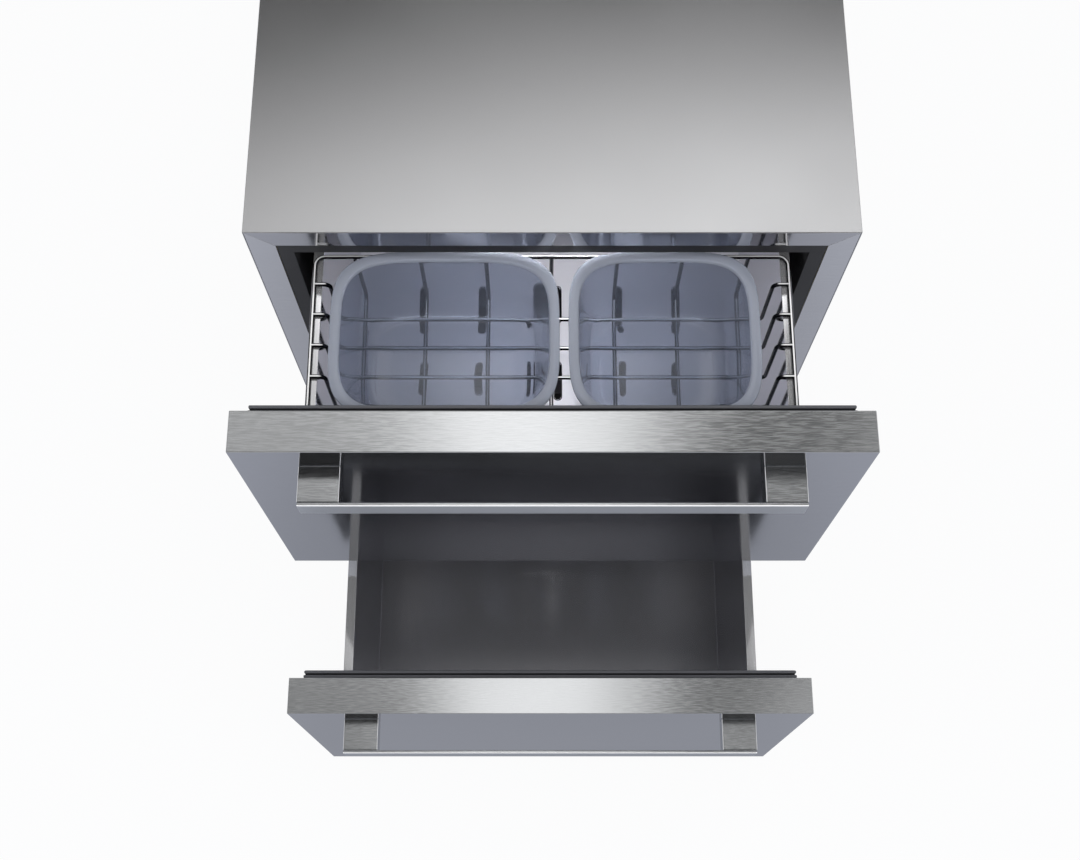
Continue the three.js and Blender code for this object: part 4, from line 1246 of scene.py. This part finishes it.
def hang_lamp(name: str, shape: str, size: Point, power: float, place: Point, turn: Point) -> None:
    """Hangs an area lamp that isn't seen in mirrors.

    Args:
        name: the lamp's name.
        shape: DISK or RECTANGLE.
        size: its width and depth.
        power: its power in watts.
        place: where it hangs.
        turn: its turn from facing straight down, in radians.
    """
    data = bpy.data.lights.new(name, "AREA")
    data.shape = shape
    data.size, data.size_y = size
    data.energy = power
    lamp = bpy.data.objects.new(name, data)
    lamp.location = place
    lamp.rotation_euler = turn
    lamp.visible_glossy = False
    bpy.context.scene.collection.objects.link(lamp)


@dataclass(frozen=True)
class Glow:
    """What metal mirrors: a soft light overhead that fades to the rear, the front and the sides.

    Ramps run over a direction's slopes to the right (across) and to the rear (inward), and over its
    spread, which is the slope across, measured along lines that fan out to the rear.
    """

    least_rise: float = 0.05
    rear: Ramp = Ramp(0.49, 0.78, 1.0, 0.02)
    rear_bow: float = 0.4
    rear_middle: float = 0.13
    front: Ramp = Ramp(-0.06, 0.08, 0.12, 1.0)
    spread_slope: float = 1.15
    spread_start: float = 0.58
    left: Ramp = Ramp(0.15, 0.36, 0.30, 0.53)
    right: Ramp = Ramp(0.16, 0.32, 0.26, 0.07)
    right_front: Ramp = Ramp(0.14, 0.19, 0.8, 1.0)
    left_to_right: Ramp = Ramp(-0.05, 0.05)
    far_shift: Ramp = Ramp(0.14, 0.18, 0.0, 0.025)
    far_edge: Ramp = Ramp(0.17, 0.26)
    far: Ramp = Ramp(0.15, 0.36, 0.60, 0.42)
    strip_edge: tuple[float, float] = (0.04, 0.125)
    strip: float = 1.48
    broad_edge: Ramp = Ramp(0.42, 0.47)
    broad: Ramp = Ramp(-0.25, 0.25, 1.1, 1.42)
    rise_edge: Ramp = Ramp(0.5, 0.68)
    low_light: float = 0.75

    def weave(self, graph: Graph) -> NodeSocket:
        """Adds the glow's nodes to the world.

        Args:
            graph: the world's graph.

        Returns:
            The light's strength in each direction.
        """
        direction = graph.add("ShaderNodeTexCoord").outputs["Generated"]
        parts = graph.add("ShaderNodeSeparateXYZ", {0: direction}).outputs
        rise = graph.math("MAXIMUM", parts[2], self.least_rise)
        across, inward = graph.math("DIVIDE", parts[0], rise), graph.math("DIVIDE", parts[1], rise)
        reach = graph.math("ADD", graph.times(inward, self.spread_slope), self.spread_start)
        spread = graph.math("DIVIDE", across, reach)
        right = graph.times(graph.remap(inward, *self.right), graph.remap(inward, *self.right_front))
        near = graph.mix(graph.remap(spread, *self.left_to_right), graph.remap(inward, *self.left), right)
        outer = graph.math("SUBTRACT", spread, graph.remap(inward, *self.far_shift))
        beside = graph.mix(graph.remap(outer, *self.far_edge), near, graph.remap(inward, *self.far))
        strip = graph.remap(graph.math("ABSOLUTE", spread), *self.strip_edge, self.strip, beside)
        shaped = graph.mix(graph.remap(inward, *self.broad_edge), strip, graph.remap(across, *self.broad))
        aside = graph.math("SUBTRACT", across, self.rear_middle)
        bow = graph.times(aside, aside, self.rear_bow)
        rear = graph.remap(graph.math("ADD", inward, bow), *self.rear)
        overhead = graph.times(shaped, rear, graph.remap(inward, *self.front))
        return graph.mix(graph.remap(parts[2], *self.rise_edge), self.low_light, overhead)


@dataclass
class Studio:
    """Camera, floor, world and lamps."""

    camera_place: tuple[float, float, float] = (-0.0119, -0.70835, 2.1377)
    camera_pitch: float = 19.61
    lens: float = 48.11
    sensor: float = 36.0
    clip: tuple[float, float] = (0.05, 60.0)
    floor_reach: float = 14.0
    floor_colour: Colour = (0.62, 0.65, 0.73)
    floor_light: float = 0.94
    mirrored_floor: Colour = (0.39, 0.405, 0.455)
    # The painted shadow in the tone that metal mirrors: its darkening, middle, stretch and edge.
    shadow_change: float = -0.24
    shadow_place: tuple[float, float, float] = (0.0, 0.95, 0.0)
    shadow_scale: tuple[float, float, float] = (2.1, 2.5, 1.0)
    shadow_edge: Ramp = Ramp(0.7, 1.25)
    soft_light: float = 0.62
    light_through: float = 0.9

    def build(self) -> None:
        """Builds the studio."""
        bpy.context.scene.view_settings.view_transform = "Standard"
        self.camera()
        self.floor()
        self.world()
        self.lamps()

    def camera(self) -> None:
        """Sets the camera at the photograph's viewpoint."""
        data = bpy.data.cameras.new("viewpoint")
        data.lens = self.lens
        data.sensor_width = self.sensor
        data.clip_start, data.clip_end = self.clip
        camera = bpy.data.objects.new("viewpoint", data)
        camera.location = self.camera_place
        camera.rotation_euler = (math.radians(self.camera_pitch), 0.0, 0.0)
        bpy.context.scene.collection.objects.link(camera)
        bpy.context.scene.camera = camera

    def floor(self) -> None:
        """Lays a floor that the camera sees as white with a soft shadow, and metal as a bluish grey with a
        painted shadow near the object.
        """
        far = self.floor_reach
        mesh = mesh_from([(-far, -far, 0), (far, -far, 0), (far, far, 0), (-far, far, 0)], [(0, 1, 2, 3)])
        floor = object_from("studio_floor", mesh)
        material = bpy.data.materials.new("studio_floor")
        graph = blank_graph(material)
        pale = graph.add("ShaderNodeBsdfDiffuse", {"Color": shade(self.floor_colour)})
        place = graph.add("ShaderNodeMapping", {
            "Vector": graph.add("ShaderNodeTexCoord").outputs["Object"], "Location": self.shadow_place,
            "Scale": self.shadow_scale})
        away = graph.add("ShaderNodeVectorMath", {0: place.outputs[0]}, operation="LENGTH").outputs["Value"]
        # Painted shadow: the mirrored tone darkens near the object by position, not by the lamps.
        mirrored = graph.blend(graph.remap(away, *self.shadow_edge),
                               shade(self.mirrored_floor, self.shadow_change), shade(self.mirrored_floor))
        rays = graph.add("ShaderNodeLightPath").outputs
        tone = graph.blend(rays["Is Glossy Ray"], (1, 1, 1, 1), mirrored)
        plain = graph.add("ShaderNodeEmission", {"Color": tone, "Strength": 1.0})
        direct = graph.math("MAXIMUM", rays["Is Camera Ray"], rays["Is Transmission Ray"])
        seen = graph.times(graph.math("MAXIMUM", direct, rays["Is Glossy Ray"]), self.floor_light)
        mix = graph.add("ShaderNodeMixShader", {0: seen, 1: pale.outputs[0], 2: plain.outputs[0]})
        graph.add("ShaderNodeOutputMaterial", {"Surface": mix.outputs[0]})
        mesh.materials.append(material)

    def world(self) -> None:
        """Builds a backdrop that the camera sees as white and metal as the glow."""
        world = bpy.data.worlds.new("studio_world")
        bpy.context.scene.world = world
        graph = blank_graph(world)
        rays = graph.add("ShaderNodeLightPath").outputs
        soft = graph.mix(rays["Is Transmission Ray"], self.soft_light, self.light_through)
        seen = graph.mix(rays["Is Glossy Ray"], soft, Glow().weave(graph))
        seen = graph.mix(rays["Is Camera Ray"], seen, 1.0)
        backdrop = graph.add("ShaderNodeBackground", {"Color": (1, 1, 1, 1), "Strength": seen})
        graph.add("ShaderNodeOutputWorld", {"Surface": backdrop.outputs[0]})

    def lamps(self) -> None:
        """Hangs two soft lamps over the front and one to each side."""
        for name, place, aim, size, power in (
            ("overhead", (0.3, -0.6, 3.4), (0.0, 0.0, 0.4), 1.6, 28.0),
            ("left_fill", (-2.6, -1.2, 1.6), (0.0, -0.1, 0.5), 1.4, 14.0),
            ("right_fill", (2.6, -1.6, 2.2), (0.0, -0.1, 0.5), 1.2, 12.0),
            ("front_fill", (-0.1, -1.3, 2.9), (0.0, -0.2, 0.5), 0.5, 10.0),
        ):
            turn = (Vector(aim) - Vector(place)).to_track_quat("-Z", "Y").to_euler()
            hang_lamp(name, "DISK", (size, size), power, place, turn)


def corners(bounds: tuple[Vector, Vector]) -> list[list[float]]:
    """A box's two corners as plain lists."""
    return [list(corner) for corner in bounds]


def main() -> None:
    """Builds the scene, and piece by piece."""
    logging.basicConfig(level=logging.INFO, format="%(message)s")
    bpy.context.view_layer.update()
    Studio().build()
    Cabinet().build()
    cavity = Cavity()
    cavity.build()
    MachineBay().build()
    cavity.light()
    for level in Level:
        Drawer(level).build()
    Basket().build()
    for side in Side:
        Bin(side).build()


if __name__ == "__main__":
    main()
